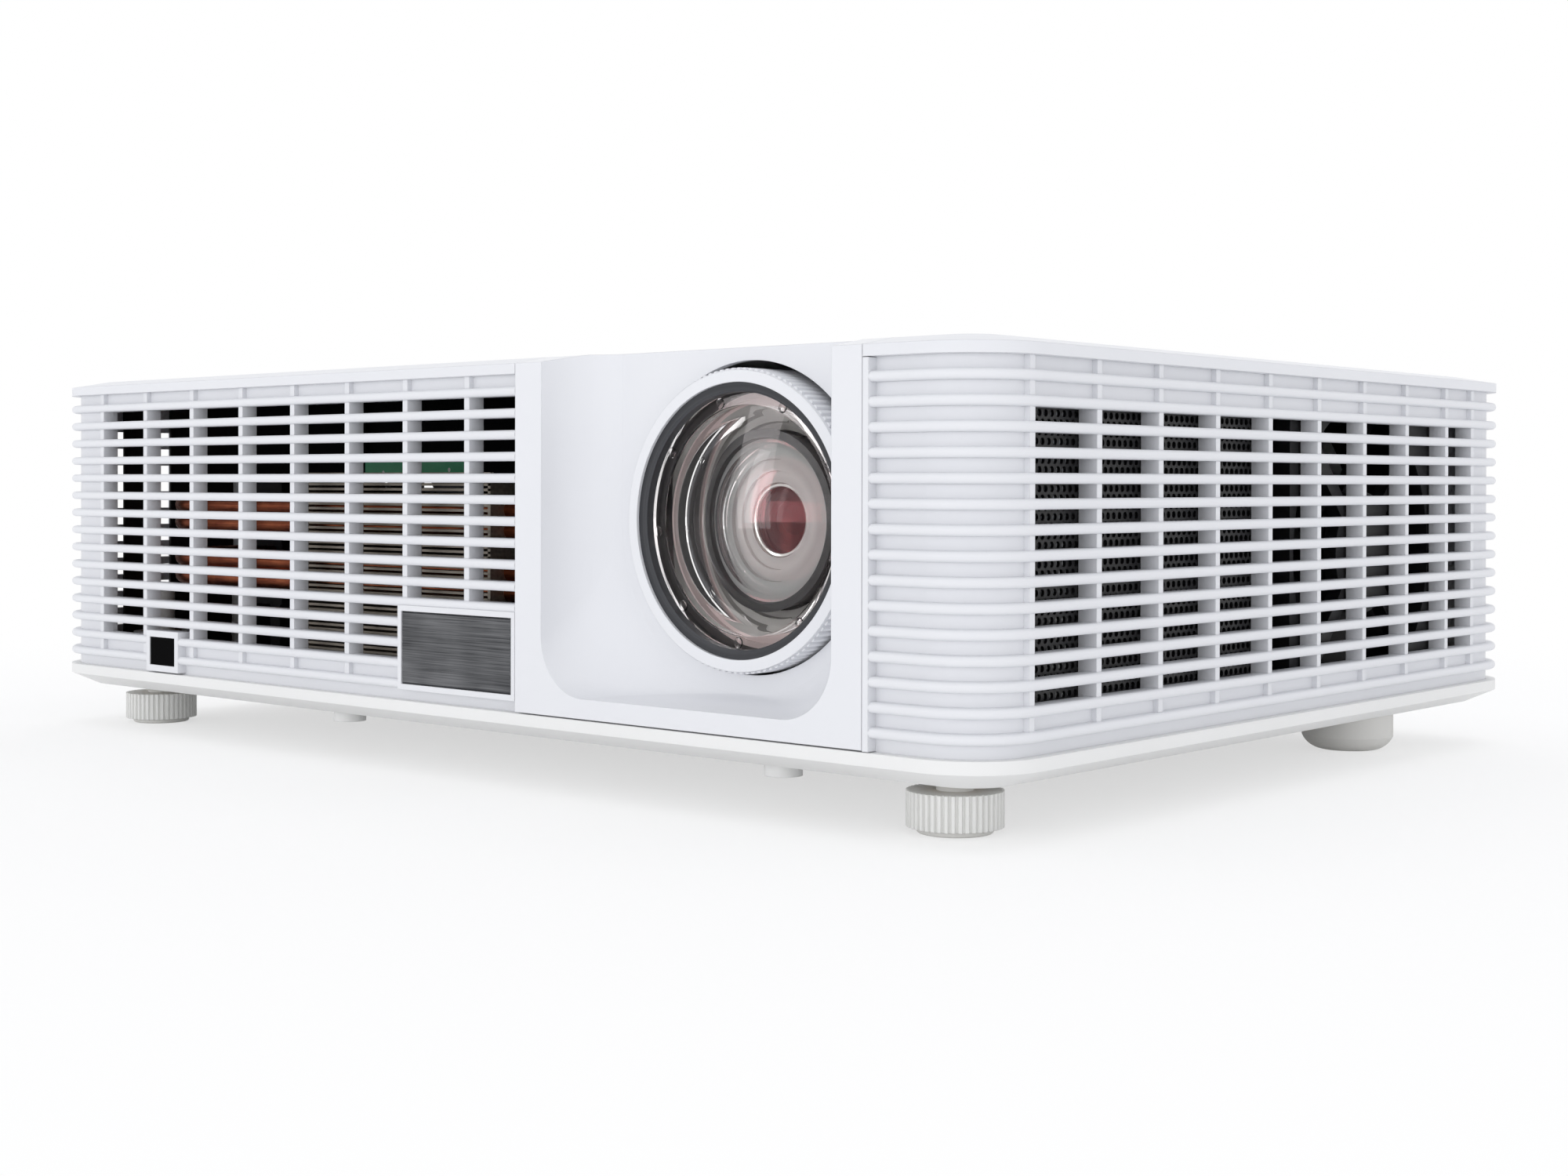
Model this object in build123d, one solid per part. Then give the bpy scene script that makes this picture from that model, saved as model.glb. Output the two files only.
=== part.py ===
from build123d import *
from math import asin, ceil, cos, pi, sin
import os

# Short-throw laser projector, as separate pieces in one frame.
# +Z is up, -Y is the front, the origin is on the table under the middle of the case.
# All sizes are in millimetres.

# Case outline and heights
BODY_W = 408.0
BODY_D = 296.0
CORNER_R = 20.0
BASE_BOTTOM = 13.8
BASE_CHAMFER_H = 4.1
BASE_CHAMFER_IN = 9.0
BASE_FLOOR_T = 2.4
BASE_CAVITY_IN = 9.5
BASE_LEDGE_RISE = 2.0
BASE_SEAM_Z = 21.2
ROW_PITCH = 6.0
ROWS = 16
LIP_H = 2.9
BEVEL_H = 2.2
BEVEL_IN = 12.0
RIM_T = 2.9
COVER_T = 2.4
COVER_EDGE_T = 1.8
COVER_POCKET_IN = 16.0
LEAST_CORNER_R = 2.0

# Slatted walls
FIN_T = 2.6
FIN_DEPTH = 3.0
WALL_T = 2.3
BAR_W = 2.2
BAR_FRONT = 1.5
BAR_BACK = 6.8
FRONT_BAR_PITCH = 27.76
FRONT_FIRST_BAR = 58.0
FRONT_WINDOW_START = 33.0
FRONT_WINDOW_END_GAP = 3.2
SIDE_BAR_PITCH = 28.3
SIDE_WINDOW_START = 20.2
SIDE_WINDOW_END = 32.2
SIDE_CLOSED_ROWS = 2
FRONT_CLOSED_ROWS = 1
FOOT_CLOSED_ROWS = 2
END_POST_W = 1.8
SEAM = 0.2
SEAT_GAP = 0.1

# Cutters run past a face, and fused pieces run into each other, by these
CUT = 1.0
JOIN = 0.5

# Badge and remote-control window on the front grille
BADGE_W = 48.0
BADGE_H = 21.0
BADGE_T = 1.4
BADGE_END_GAP = 1.8
BADGE_RISE = 5.0
BADGE_FRAME = 1.8
BADGE_CHAMFER = 0.5
IR_W = 14.6
IR_H = 9.1
IR_T = 2.0
IR_FRAME = 2.2
IR_FROM_LEFT = 64.4
IR_RISE = 2.7
IR_SET = 0.3
IR_LIP = 1.0

# Lens bezel and its scooped recess, measured from the right side of the case
BEZEL_W = 123.1
BEZEL_FROM_RIGHT = 36.9
BEZEL_T = 2.4
BEZEL_FLANGE = 1.0
SCOOP_LEFT = 10.6
SCOOP_RIGHT = 9.4
SCOOP_DEPTH = 16.0
SCOOP_MID_DEPTH = 10.5
SCOOP_MID_SHARE = 0.32
SCOOP_RISE = 5.8
SCOOP_CORNER_R = 16.0
FACE_MARGIN_LEFT = 7.8
FACE_MARGIN_LOW = 5.6
FACE_ROUND_LEFT = 3.8
FACE_ROUND_RIGHT = 0.8
BEZEL_SEAM = 0.4

# Lens, on an axis along Y
LENS_FROM_RIGHT = 87.0
LENS_DROP_ROWS = 6.6
LENS_HOLE_GAP = 1.35
LENS_HOLE_RAISE = 0.75
RING_R = 39.2
RING_WALL = 3.74
RING_LEN = 20.0
RING_PROUD = 6.0
RING_LIP = 0.9
RING_END_GAP = 0.3
KNURLS = 120
KNURL_DEPTH = 0.6
RUN_FIT = 0.06
RETAINER_SET = 0.8
RETAINER_W = 2.4
RETAINER_LEN = 3.0
RETAINER_CHAMFER = 0.6
GLASS_FLANGE_W = 3.6
GLASS_FLANGE_T = 2.4
GLASS_FRONT_SAG = 3.2
GLASS_BACK_SAG = 7.0
GLASS_CENTRE_T = 3.6
GLASS_STEP = 1.0
GLASS_BACK_IN = 2.0
BARREL_WALL = 2.0
BARREL_FRONT_LEN = 30.0
BARREL_COLLAR_IN = 1.0
BARREL_COLLAR_T = 2.6
NECK_R = 27.0
NECK_WALL = 3.0
NECK_LEN = 46.0
FLANGE_R = 40.0
FLANGE_T = 4.0
BAFFLE_STEPS = 4
BAFFLE_LEN = 19.2
BAFFLE_CONE_LEN = 8.0
BAFFLE_SMALL_R = 24.8
BAFFLE_LIP = 1.5
BAFFLE_FLAT = 0.35
BAFFLE_EDGE = 0.55
CELL_LEN = 39.6
CELL_FORWARD = 20.7
CELL_BORE_R = 21.8
CELL_LIP = 3.0
CELL_LIP_T = 2.0
CELL_STEPS = 3
CELL_STEP_T = 1.0
CELL_RIM_W = 1.0
SECOND_SET = 1.5
SECOND_LEN = 4.0
SECOND_BULGE = 7.0
SECOND_BACK_SAG = 6.0
SECOND_BACK_IN = 2.0
REAR_GLASS_R = 9.0
REAR_GLASS_T = 7.0
REAR_GLASS_SET = 0.2
REAR_GLASS_BULGE = 1.5
REAR_SEAT_LEN = 10.0
GLASS_FIT = 0.02

# Optical engine behind the lens
ENGINE_W = 90.0
ENGINE_D = 80.0
ENGINE_BELOW = 45.0
ENGINE_ABOVE = 34.0
ENGINE_WALL = 3.0
ENGINE_CHAMFER = 5.0
ENGINE_POST_R = 5.0
ENGINE_POST_IN_X = 8.0
ENGINE_POST_IN_Y = 12.0
PCB_T = 1.6
CHIP_W = 22.0
CHIP_H = 14.0
CHIP_T = 2.0
CHIP_RIM = 3.0
DMD_BOARD_W = 70.0
DMD_BOARD_H = 62.0
DMD_SINK_W = 42.0
DMD_SINK_H = 46.0
DMD_SINK_BASE = 4.0
DMD_SINK_DEPTH = 30.0
DMD_SINK_FINS = 9
SINK_FIN_T = 1.2
TUNNEL_SIDE = 10.0
TUNNEL_WALL = 1.2
TUNNEL_LEN = 46.0
TUNNEL_IN = 6.0
TUNNEL_SETBACK = 38.0
WHEEL_R = 26.0
WHEEL_T = 1.1
WHEEL_HUB_R = 9.0
WHEEL_HUB_T = 4.0
WHEEL_SPOT_R = 20.0
WHEEL_GAP = 2.0
MOTOR_R = 11.0
MOTOR_LEN = 12.0
SHAFT_R = 1.5
SHAFT_FIT = 0.05
BRACKET_T = 2.5
BRACKET_W = 30.0
BRACKET_FOOT = 14.0
PHOSPHOR_R = 30.0
PHOSPHOR_FROM_TUNNEL = 62.0
PHOSPHOR_SPOT_IN = 2.0

# Laser light source and its cooler behind the front slats
SINK_W = 91.0
SINK_D = 32.0
SINK_FROM_BEZEL = 22.0
SINK_FRONT_GAP = 10.0
SINK_RISE = 5.8
SINK_FINS_PER_ROW = 2
SINK_FINS = 20
SINK_PLATE_T = 0.8
SINK_END_T = 1.2
PIPE_R = 3.0
PIPE_FIT = 0.05
PIPE_ROWS = (7, 8, 10, 11)
PIPE_END_OUT = 8.0
PIPE_FIRST_IN = 8.0
PIPE_SPACING = 13.0
PIPE_BEND_R = 12.0
PIPE_RUN = 71.0
PIPE_TAIL = 14.0
LASER_W = 24.0
LASER_D = 34.0
LASER_PLATE_T = 6.0
LASER_MARGIN_LOW = 12.0
LASER_MARGIN_HIGH = 8.0
LASER_BLOCK_IN = 4.0
LASER_BLOCK_LOWER = 3.0
LASER_FOOT_T = 4.0
LASER_LEG_W = 6.0
DIODE_R = 4.5
DIODE_LEN = 5.0
DIODE_FIRST_Y = 13.0
DIODE_STEP_Y = 12.0
DIODE_FIRST_Z = 14.0
DIODE_STEP_Z = 13.0

# Boards and connectors
BOARD_CLEAR = 8.0
BOARD_W = 160.0
BOARD_FRONT_GAP = 38.0
BOARD_FROM_BEZEL = -22.0
BOARD_REAR_GAP = 8.0
STRIP_W = 52.0
STRIP_FROM_LEFT = 23.0
STRIP_DROP = 2.4
STRIP_RISE = 2.6
SOLDER_IN = 0.2
# Centre from the board's middle and rear edge, width and height of each chip or coil
MAIN_CHIPS = ((-20, -90, 30, 3), (25, -100, 24, 2.5), (-35, -150, 18, 2), (15, -165, 20, 12),
              (45, -60, 12, 9))
STANDOFF_R = 3.0
STANDOFF_IN = 7.0
STANDOFF_FROM_REAR = 24.0
STANDOFF_THREAD = 8.0
BOARD_SCREW_LEN = 7.6
SCREW_R = 1.5
SCREW_HEAD_R = 2.8
SCREW_HEAD_H = 2.0
SCREW_FIT = 0.03
REAR_FACE_IN = 1.0
PORT_FACE_IN = 0.6
PORT_FIT = 0.3
PSU_W = 118.0
PSU_D = 84.0
PSU_FAN_GAP = 1.8
PSU_REAR_GAP = 36.0
PSU_Z = 24.0
BOARD_LEG_R = 3.0
BOARD_LEG_IN = 5.0
CAPACITOR_R = 8.0
CAPACITOR_H = 34.0
CAPACITOR_X = 18.0
CAPACITOR_Y = 14.0
CAPACITOR_STEP = 20.0
# Transformer, coil and cooling plate: spans in X and Y from the board's front left corner, and height
PSU_BLOCKS = ((50, 84, 26, 56, 30), (92, 110, 10, 28, 18), (34, 37, 8, 76, 32))
DRIVER_W = 110.0
DRIVER_D = 54.0
DRIVER_GAP = 10.0
DRIVER_Z = 30.0
DRIVER_COILS = 4
DRIVER_COIL_W = 14.0
DRIVER_COIL_H = 10.0
DRIVER_COIL_IN = 12.0
DRIVER_COIL_STEP = 24.0
AC_W = 27.4
AC_H = 20.0
AC_DEPTH = 22.0
AC_POCKET_W = 24.2
AC_POCKET_H = 16.6
AC_POCKET_DEPTH = 17.0
AC_FLANGE = 2.0
AC_FLANGE_T = 0.5
AC_FLANGE_SEAT = 0.02
AC_POCKET_CHAMFER = 4.0
AC_FROM_LEFT = 58.0
AC_Z = 46.0
PIN_W = 2.0
PIN_H = 4.0
PIN_LEN = 11.5
PIN_SPACING = 7.0
EARTH_PIN_RISE = 2.0
LINE_PIN_RISE = -1.5
PORT_SPACING = 3.0
PORT_END_GAP = 4.0
AUDIO_W = 34.0
AUDIO_H = 11.0
AUDIO_DEPTH = 13.0
AUDIO_NOSE_R = 4.0
AUDIO_BORE_R = 1.8
AUDIO_BORE_DEPTH = 11.0
AUDIO_STEP = 11.2
USB_W = 13.4
USB_H = 6.4
USB_DEPTH = 14.0
USB_MOUTH = (12.4, 5.2, 10.0)
LAN_W = 16.4
LAN_H = 13.6
LAN_DEPTH = 21.0
LAN_MOUTH = (11.8, 8.0, 13.0)
HDMI_W = 15.2
HDMI_H = 6.0
HDMI_DEPTH = 12.0
HDMI_MOUTH = (13.8, 4.4, 9.0)
HDMI_STEP = 18.0
HDMI_COUNT = 2
TONGUE_W = 11.0
TONGUE_ROOT = 1.0
HDMI_TONGUE_SET = 2.0
HDMI_TONGUE = (-0.4, 0.8)
USB_TONGUE_SET = 1.5
USB_TONGUE = (0.2, 2.0)
VGA_W = 31.0
VGA_H = 12.6
VGA_DEPTH = 12.0
VGA_BODY_SET = 1.2
VGA_TOP_W = 17.2
VGA_LOW_W = 14.8
VGA_SHELL_H = 8.2
VGA_NOSE = 2.0
VGA_PINS_WIDE = 5
VGA_PIN_ROWS = 3
VGA_PIN_R = 0.5
VGA_PIN_DEPTH = 5.0
VGA_PIN_STEP_X = 2.6
VGA_PIN_STEP_Z = 2.2
VGA_POST_R = 2.4
VGA_POST_X = 12.5
SPEAKER_W = 60.0
SPEAKER_H = 40.0
SPEAKER_DEPTH = 26.0
SPEAKER_FROM_RIGHT = 84.0
SPEAKER_R = 17.0
SPEAKER_RISE = 6.0
SPEAKER_CONE_DEPTH = 9.0
SPEAKER_SLOTS = 7
SPEAKER_SLOT_PITCH = 4.0
SPEAKER_SLOT_H = 1.6

# Fans
FAN_SIDE = 92.0
FAN_T = 25.0
FAN_BORE_R = 44.0
FAN_TIP_GAP = 1.2
FAN_HUB_R = 18.0
FAN_BLADES = 7
FAN_BLADE_T = 1.6
FAN_PITCH_DEG = 38.0
FAN_STRUT_W = 5.0
FAN_STRUT_T = 4.0
FAN_SHAFT_R = 2.0
FAN_WALL_GAP = 0.4
FAN_RUN_GAP = 0.6
FAN_CORNER_R = 4.0
FAN_CHORD_SHARE = 0.8
FAN_SHAFT_SET = 0.3
FAN_STRUTS = 4
INTAKE_FAN_FROM_REAR = 96.0
EXHAUST_FAN_FROM_FRONT = 126.0
FAN_HOLE_R = 2.2
FAN_HOLE_IN = 5.0

# Intake mesh behind the front columns of the right grille
MESH_T = 0.8

# Keypad on the top cover
KEYPAD_W = 118.0
KEYPAD_D = 42.0
KEYPAD_T = 1.0
KEYPAD_X = 20.0
KEYPAD_FROM_REAR = 54.0
KEYPAD_CORNER_R = 3.0
KEYPAD_BOARD_IN = 2.0
BUTTON_R = 4.4
BUTTON_FIT = 0.1
BUTTON_PROUD = 0.9
BUTTON_FLANGE = 1.2
BUTTON_FLANGE_T = 1.0
BUTTON_TRAVEL = 0.8
BUTTON_EDGE_R = 0.5
BUTTON_FLANGE_GAP = 0.05
SWITCH_H = 0.6
PAD_SPACING = 12.5
KEY_SPACING = 17.0
LIGHT_R = 1.2
LIGHT_SPACING = 6.0
LIGHT_PROUD = 0.2
KEYPAD_PEG_R = 2.0
KEYPAD_PEG_IN = 4.0

# Case screws and posts
POST_R = 4.5
POST_TOP = 58.0
POST_WEB = 6.0
BOSS_R = 4.0
PILOT_DEPTH = 12.0
COUNTERBORE_R = 3.3
POST_FROM_SIDE = 15.0
REAR_POST_FROM_REAR = 20.0
RIGHT_POST_FROM_FRONT = 46.0
LEFT_POST_FAN_GAP = 10.0
BEZEL_POST_IN = 13.0
BEZEL_POST_FROM_FRONT = 30.0
CASE_SCREW_END_GAP = 1.0

# Feet
FOOT_FROM_SIDE = 29.0
FOOT_FROM_FRONT = 26.4
FOOT_PAD_R = 9.5
FOOT_PAD_H = 3.0
FOOT_PAD_SPIGOT_R = 3.0
FOOT_PAD_SPIGOT_H = 4.0
FOOT_KNOB_R = 12.0
FOOT_KNOB_LOW = 1.5
FOOT_KNOB_TOP = 10.4
FOOT_RIBS = 44
FOOT_RIB_DEPTH = 0.7
FOOT_STUD_R = 4.6
FOOT_STUD_TOP = 46.0
FOOT_NUT_WALL = 2.4
FOOT_NUT_TOP = 32.0
FOOT_BOSS_WALL = 2.5
FOOT_PAD_EDGE_R = 0.8
FOOT_PAD_GAP = 0.3
FOOT_LIFT = 0.1
REAR_FOOT_R = 14.2
REAR_FOOT_FROM_SIDE = 32.0
REAR_FOOT_FROM_REAR = 56.0
REAR_FOOT_DOME = 4.4
REAR_FOOT_FLAT_R = 7.0
REAR_DOME_MID = (0.87, 0.4)
REAR_PEG_R = 3.0
REAR_PEG_H = 4.0

# Ceiling mount
MOUNT_SPACING_X = 182.0
MOUNT_SPACING_Y = 176.0
MOUNT_X = 34.0
MOUNT_FROM_FRONT = 20.0
MOUNT_DROP = 4.0
MOUNT_BORE_R = 2.0
MOUNT_INSERT_WALL = 1.2
MOUNT_BOSS_WALL = 1.8
MOUNT_INSERT_LEN = 9.0
MOUNT_RISE = 6.0

# Places worked out from the driving sizes
RIGHT = BODY_W / 2
LEFT = -RIGHT
REAR = BODY_D / 2
FRONT = -REAR
CHAMFER_TOP = BASE_BOTTOM + BASE_CHAMFER_H
FLOOR_TOP = BASE_BOTTOM + BASE_FLOOR_T
LEDGE_Z = FLOOR_TOP + BASE_LEDGE_RISE
ROWS_TOP = BASE_SEAM_Z + ROWS * ROW_PITCH - FIN_T
LIP_TOP = ROWS_TOP + LIP_H
PLATEAU = LIP_TOP + BEVEL_H
COVER_EDGE_Z = LIP_TOP - COVER_EDGE_T
COVER_UNDER = PLATEAU - COVER_T
WALL_BACK = FIN_DEPTH + WALL_T
WALL_LOW = LEDGE_Z + SEAT_GAP
WALL_HIGH = COVER_EDGE_Z - SEAT_GAP
BEZEL_R = RIGHT - BEZEL_FROM_RIGHT
BEZEL_L = BEZEL_R - BEZEL_W
BEZEL_BACK = FRONT + SCOOP_DEPTH + BEZEL_T + BEZEL_FLANGE
LENS_X = RIGHT - LENS_FROM_RIGHT
LENS_Z = ROWS_TOP - LENS_DROP_ROWS * ROW_PITCH
FRONT_BARS = int((BEZEL_L - FRONT_WINDOW_END_GAP - LEFT - FRONT_FIRST_BAR) / FRONT_BAR_PITCH) + 1
SIDE_SPAN = BODY_D - SIDE_WINDOW_START - SIDE_WINDOW_END
SIDE_COLUMNS = ceil(SIDE_SPAN / SIDE_BAR_PITCH)
SCOOP_Y = FRONT + SCOOP_DEPTH
RING_FRONT = SCOOP_Y - RING_PROUD
RING_BACK = RING_FRONT + RING_LEN
BARREL_R = RING_R - RING_WALL
BARREL_COLLAR_R = RING_R - BARREL_COLLAR_IN
RETAINER_Y = RING_FRONT + RETAINER_SET
BARREL_FRONT = RETAINER_Y + RETAINER_LEN
BARREL_BACK = BARREL_FRONT + BARREL_FRONT_LEN
NECK_BACK = BARREL_BACK + NECK_LEN
BARREL_BORE = BARREL_R - BARREL_WALL
NECK_BORE = NECK_R - NECK_WALL
ENGINE_L = LENS_X - ENGINE_W / 2
ENGINE_R = LENS_X + ENGINE_W / 2
ENGINE_BACK = NECK_BACK + ENGINE_D
ENGINE_LOW = LENS_Z - ENGINE_BELOW
ENGINE_HIGH = LENS_Z + ENGINE_ABOVE
TUNNEL_Y = NECK_BACK + TUNNEL_SETBACK
TUNNEL_END = ENGINE_L + TUNNEL_IN
TUNNEL_START = TUNNEL_END - TUNNEL_LEN
WHEEL_X = TUNNEL_START - WHEEL_GAP - WHEEL_T
WHEEL_Z = LENS_Z - WHEEL_SPOT_R
SINK_R_X = BEZEL_L - SINK_FROM_BEZEL
SINK_L_X = SINK_R_X - SINK_W
SINK_Y = FRONT + SINK_FRONT_GAP
SINK_LOW = BASE_SEAM_Z + SINK_RISE
SINK_PITCH = ROW_PITCH / SINK_FINS_PER_ROW
PIPE_TURN_X = SINK_L_X - PIPE_RUN
PIPE_TURN_Y = SINK_Y + PIPE_FIRST_IN + PIPE_SPACING + PIPE_BEND_R
LASER_Y = PIPE_TURN_Y + PIPE_TAIL
BOARD_R_X = BEZEL_L - BOARD_FROM_BEZEL
BOARD_L_X = BOARD_R_X - BOARD_W
BOARD_REAR = REAR - BOARD_REAR_GAP
BOARD_FRONT = FRONT + BOARD_FRONT_GAP
BOARD_Z = LENS_Z + TUNNEL_SIDE / 2 + BOARD_CLEAR
BOARD_TOP = BOARD_Z + PCB_T
PORT_FACE = REAR - PORT_FACE_IN
REAR_FACE = REAR - REAR_FACE_IN
AC_X = LEFT + AC_FROM_LEFT
PSU_L = LEFT + BAR_BACK + FAN_WALL_GAP + FAN_T + PSU_FAN_GAP
PSU_REAR = REAR - PSU_REAR_GAP
PSU_FRONT = PSU_REAR - PSU_D
INTAKE_FAN_Y = REAR - INTAKE_FAN_FROM_REAR
EXHAUST_FAN_Y = FRONT + EXHAUST_FAN_FROM_FRONT
KEYPAD_Y = REAR - KEYPAD_FROM_REAR
KEYPAD_BOARD_TOP = COVER_UNDER - BUTTON_FLANGE_T - BUTTON_TRAVEL - SWITCH_H
MOUNT_Y0 = FRONT + MOUNT_FROM_FRONT
MOUNT_FACE_Z = BASE_BOTTOM - MOUNT_DROP
MOUNT_INSERT_R = MOUNT_BORE_R + MOUNT_INSERT_WALL
MOUNT_BOSS_R = MOUNT_INSERT_R + MOUNT_BOSS_WALL
FOOT_NUT_R = FOOT_STUD_R + FOOT_NUT_WALL
FOOT_PLACES = [(side * (RIGHT - FOOT_FROM_SIDE), FRONT + FOOT_FROM_FRONT) for side in (1, -1)]
REAR_FOOT_PLACES = [(side * (RIGHT - REAR_FOOT_FROM_SIDE), REAR - REAR_FOOT_FROM_REAR) for side in (1, -1)]
MOUNT_PLACES = [
    (MOUNT_X + sx * MOUNT_SPACING_X / 2, MOUNT_Y0 + sy * MOUNT_SPACING_Y)
    for sx in (-1, 1)
    for sy in (0, 1)
]
POST_PLACES = [
    (LEFT + POST_FROM_SIDE, REAR - REAR_POST_FROM_REAR),
    (RIGHT - POST_FROM_SIDE, REAR - REAR_POST_FROM_REAR),
    (RIGHT - POST_FROM_SIDE, FRONT + RIGHT_POST_FROM_FRONT),
    (LEFT + POST_FROM_SIDE, EXHAUST_FAN_Y - FAN_SIDE / 2 - LEFT_POST_FAN_GAP),
    (BEZEL_L + BEZEL_POST_IN, FRONT + BEZEL_POST_FROM_FRONT),
]
STANDOFF_PLACES = [
    (BOARD_L_X + STANDOFF_IN, BOARD_FRONT + STANDOFF_IN),
    (BOARD_R_X - STANDOFF_IN, BOARD_FRONT + STANDOFF_IN),
    (BOARD_L_X + STANDOFF_IN, BOARD_REAR - STANDOFF_FROM_REAR),
    (BOARD_R_X - STANDOFF_IN, BOARD_REAR - STANDOFF_FROM_REAR),
]
KEY_PLACES = {
    "enter": (KEYPAD_X, KEYPAD_Y),
    "up": (KEYPAD_X, KEYPAD_Y + PAD_SPACING),
    "down": (KEYPAD_X, KEYPAD_Y - PAD_SPACING),
    "left": (KEYPAD_X - PAD_SPACING, KEYPAD_Y),
    "right": (KEYPAD_X + PAD_SPACING, KEYPAD_Y),
    "power": (KEYPAD_X - PAD_SPACING - 2 * KEY_SPACING, KEYPAD_Y),
    "menu": (KEYPAD_X - PAD_SPACING - KEY_SPACING, KEYPAD_Y),
    "source": (KEYPAD_X + PAD_SPACING + KEY_SPACING, KEYPAD_Y),
}
LIGHT_PLACES = [(KEYPAD_X + PAD_SPACING + 2 * KEY_SPACING, KEYPAD_Y + k * LIGHT_SPACING) for k in (-1, 0, 1)]


def row_top(row):
    """Height of the upper edge of a slat row, counted from 1 at the top."""
    return ROWS_TOP - (row - 1) * ROW_PITCH


def row_low(row):
    """Height of the lower edge of a slat row, which is the top of the slat under it."""
    return row_top(row) - ROW_PITCH + FIN_T


def row_middle(row):
    """Height of the middle of a slat row."""
    return (row_top(row) + row_low(row)) / 2


def block(x0, x1, y0, y1, z0, z1):
    """Box between two corners."""
    return Pos((x0 + x1) / 2, (y0 + y1) / 2, (z0 + z1) / 2) * Box(x1 - x0, y1 - y0, z1 - z0)


def rod(radius, start, end):
    """Cylinder from one point to another."""
    run = Vector(*end) - Vector(*start)
    return Part() + Solid.make_cylinder(radius, run.length, Plane(origin=start, z_dir=run))


def upright(radius, x, y, z0, z1):
    """Standing cylinder."""
    return rod(radius, (x, y, z0), (x, y, z1))


def rounded_face(inset, z):
    """Case outline drawn in by a distance, as a level face."""
    corner = max(CORNER_R - inset, LEAST_CORNER_R)
    return Pos(0, 0, z) * RectangleRounded(BODY_W - 2 * inset, BODY_D - 2 * inset, corner)


def rounded_slab(inset, z0, z1):
    """Case outline drawn in by a distance, as a slab."""
    return extrude(rounded_face(inset, z0), z1 - z0)


def turned_on_y(points, x=LENS_X, z=LENS_Z):
    """Solid turned about an axis along Y from (radius, y) points."""
    face = make_face(Polyline(*[(x + r, y) for r, y in points], close=True))
    return revolve(Pos(0, 0, z) * face, Axis((x, 0, z), (0, 1, 0)), 360)


def dome(radius, apex_y, rim_y):
    """Arc from the axis to a rim, on a circle whose centre lies on the axis."""
    sag = rim_y - apex_y
    ball = (radius ** 2 + sag ** 2) / (2 * abs(sag))
    turn = asin(radius / ball) / 2
    step = ball * (1 - cos(turn))
    mid_y = apex_y + step if sag > 0 else apex_y - step
    return ThreePointArc((0, apex_y), (ball * sin(turn), mid_y), (radius, rim_y))


def turned_edges_on_y(edges):
    """Solid turned about the lens axis from edges drawn in (radius, y)."""
    face = make_face(edges)
    return revolve(Pos(LENS_X, 0, LENS_Z) * face, Axis((LENS_X, 0, LENS_Z), (0, 1, 0)), 360)


def ribbed_disc(radius, depth, ribs, length):
    """Upright disc with a ribbed edge, standing on its own origin."""
    points = []
    for k in range(ribs):
        for share, r in ((0.0, radius), (0.45, radius), (0.6, radius - depth), (0.85, radius - depth)):
            angle = 2 * pi * (k + share) / ribs
            points.append((r * cos(angle), r * sin(angle)))
    return extrude(make_face(Polyline(*points, close=True)), length)


def along(part, origin, direction, across):
    """Part built on +Z, laid along another direction."""
    return Plane(origin=origin, x_dir=across, z_dir=direction).location * part


# Slatted walls

def comb_face():
    """Wall section with its round-nosed slats: x is the depth from the outer face, y the height."""
    nose = FIN_T / 2
    edges = []
    last = (FIN_DEPTH, WALL_HIGH)
    edges.append(Line((WALL_BACK, WALL_HIGH), last))
    for row in range(1, ROWS):
        top = row_low(row)
        low = row_top(row + 1)
        edges.append(Line(last, (FIN_DEPTH, top)))
        edges.append(Line((FIN_DEPTH, top), (nose, top)))
        edges.append(ThreePointArc((nose, top), (0, (top + low) / 2), (nose, low)))
        edges.append(Line((nose, low), (FIN_DEPTH, low)))
        last = (FIN_DEPTH, low)
    edges.append(Line(last, (FIN_DEPTH, WALL_LOW)))
    edges.append(Line((FIN_DEPTH, WALL_LOW), (WALL_BACK, WALL_LOW)))
    edges.append(Line((WALL_BACK, WALL_LOW), (WALL_BACK, WALL_HIGH)))
    return make_face(edges)


def front_section(x):
    """Wall section standing across the front wall."""
    return Plane(origin=(x, FRONT, 0), x_dir=(0, 1, 0), z_dir=(1, 0, 0)) * comb_face()


def right_section(y):
    """Wall section standing across the right wall."""
    return Plane(origin=(RIGHT, y, 0), x_dir=(-1, 0, 0), z_dir=(0, 1, 0)) * comb_face()


def left_section(y):
    """Wall section standing across the left wall, facing back along -Y."""
    return Plane(origin=(LEFT, y, 0), x_dir=(1, 0, 0), z_dir=(0, -1, 0)) * comb_face()


def corner_turn(section, side, end, angle):
    """Rounded corner wall, turned from a wall section."""
    axis = Axis((side * (RIGHT - CORNER_R), end * (REAR - CORNER_R), 0), (0, 0, 1))
    return revolve(section, axis, angle)


def front_windows(x0, x1, first, last):
    """Cutters that open the front wall between its slats."""
    y1 = FRONT + WALL_BACK + CUT
    return [block(x0, x1, FRONT - CUT, y1, row_low(row), row_top(row)) for row in range(first, last + 1)]


def front_bars():
    """Upright bars that divide the front windows."""
    x0 = LEFT + FRONT_FIRST_BAR
    low = row_low(ROWS - 1)
    places = [x0 + k * FRONT_BAR_PITCH for k in range(FRONT_BARS)]
    places.append(LEFT + FRONT_WINDOW_START - BAR_W)
    return [block(x, x + BAR_W, FRONT + BAR_FRONT, FRONT + BAR_BACK, low, ROWS_TOP) for x in places]


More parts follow.
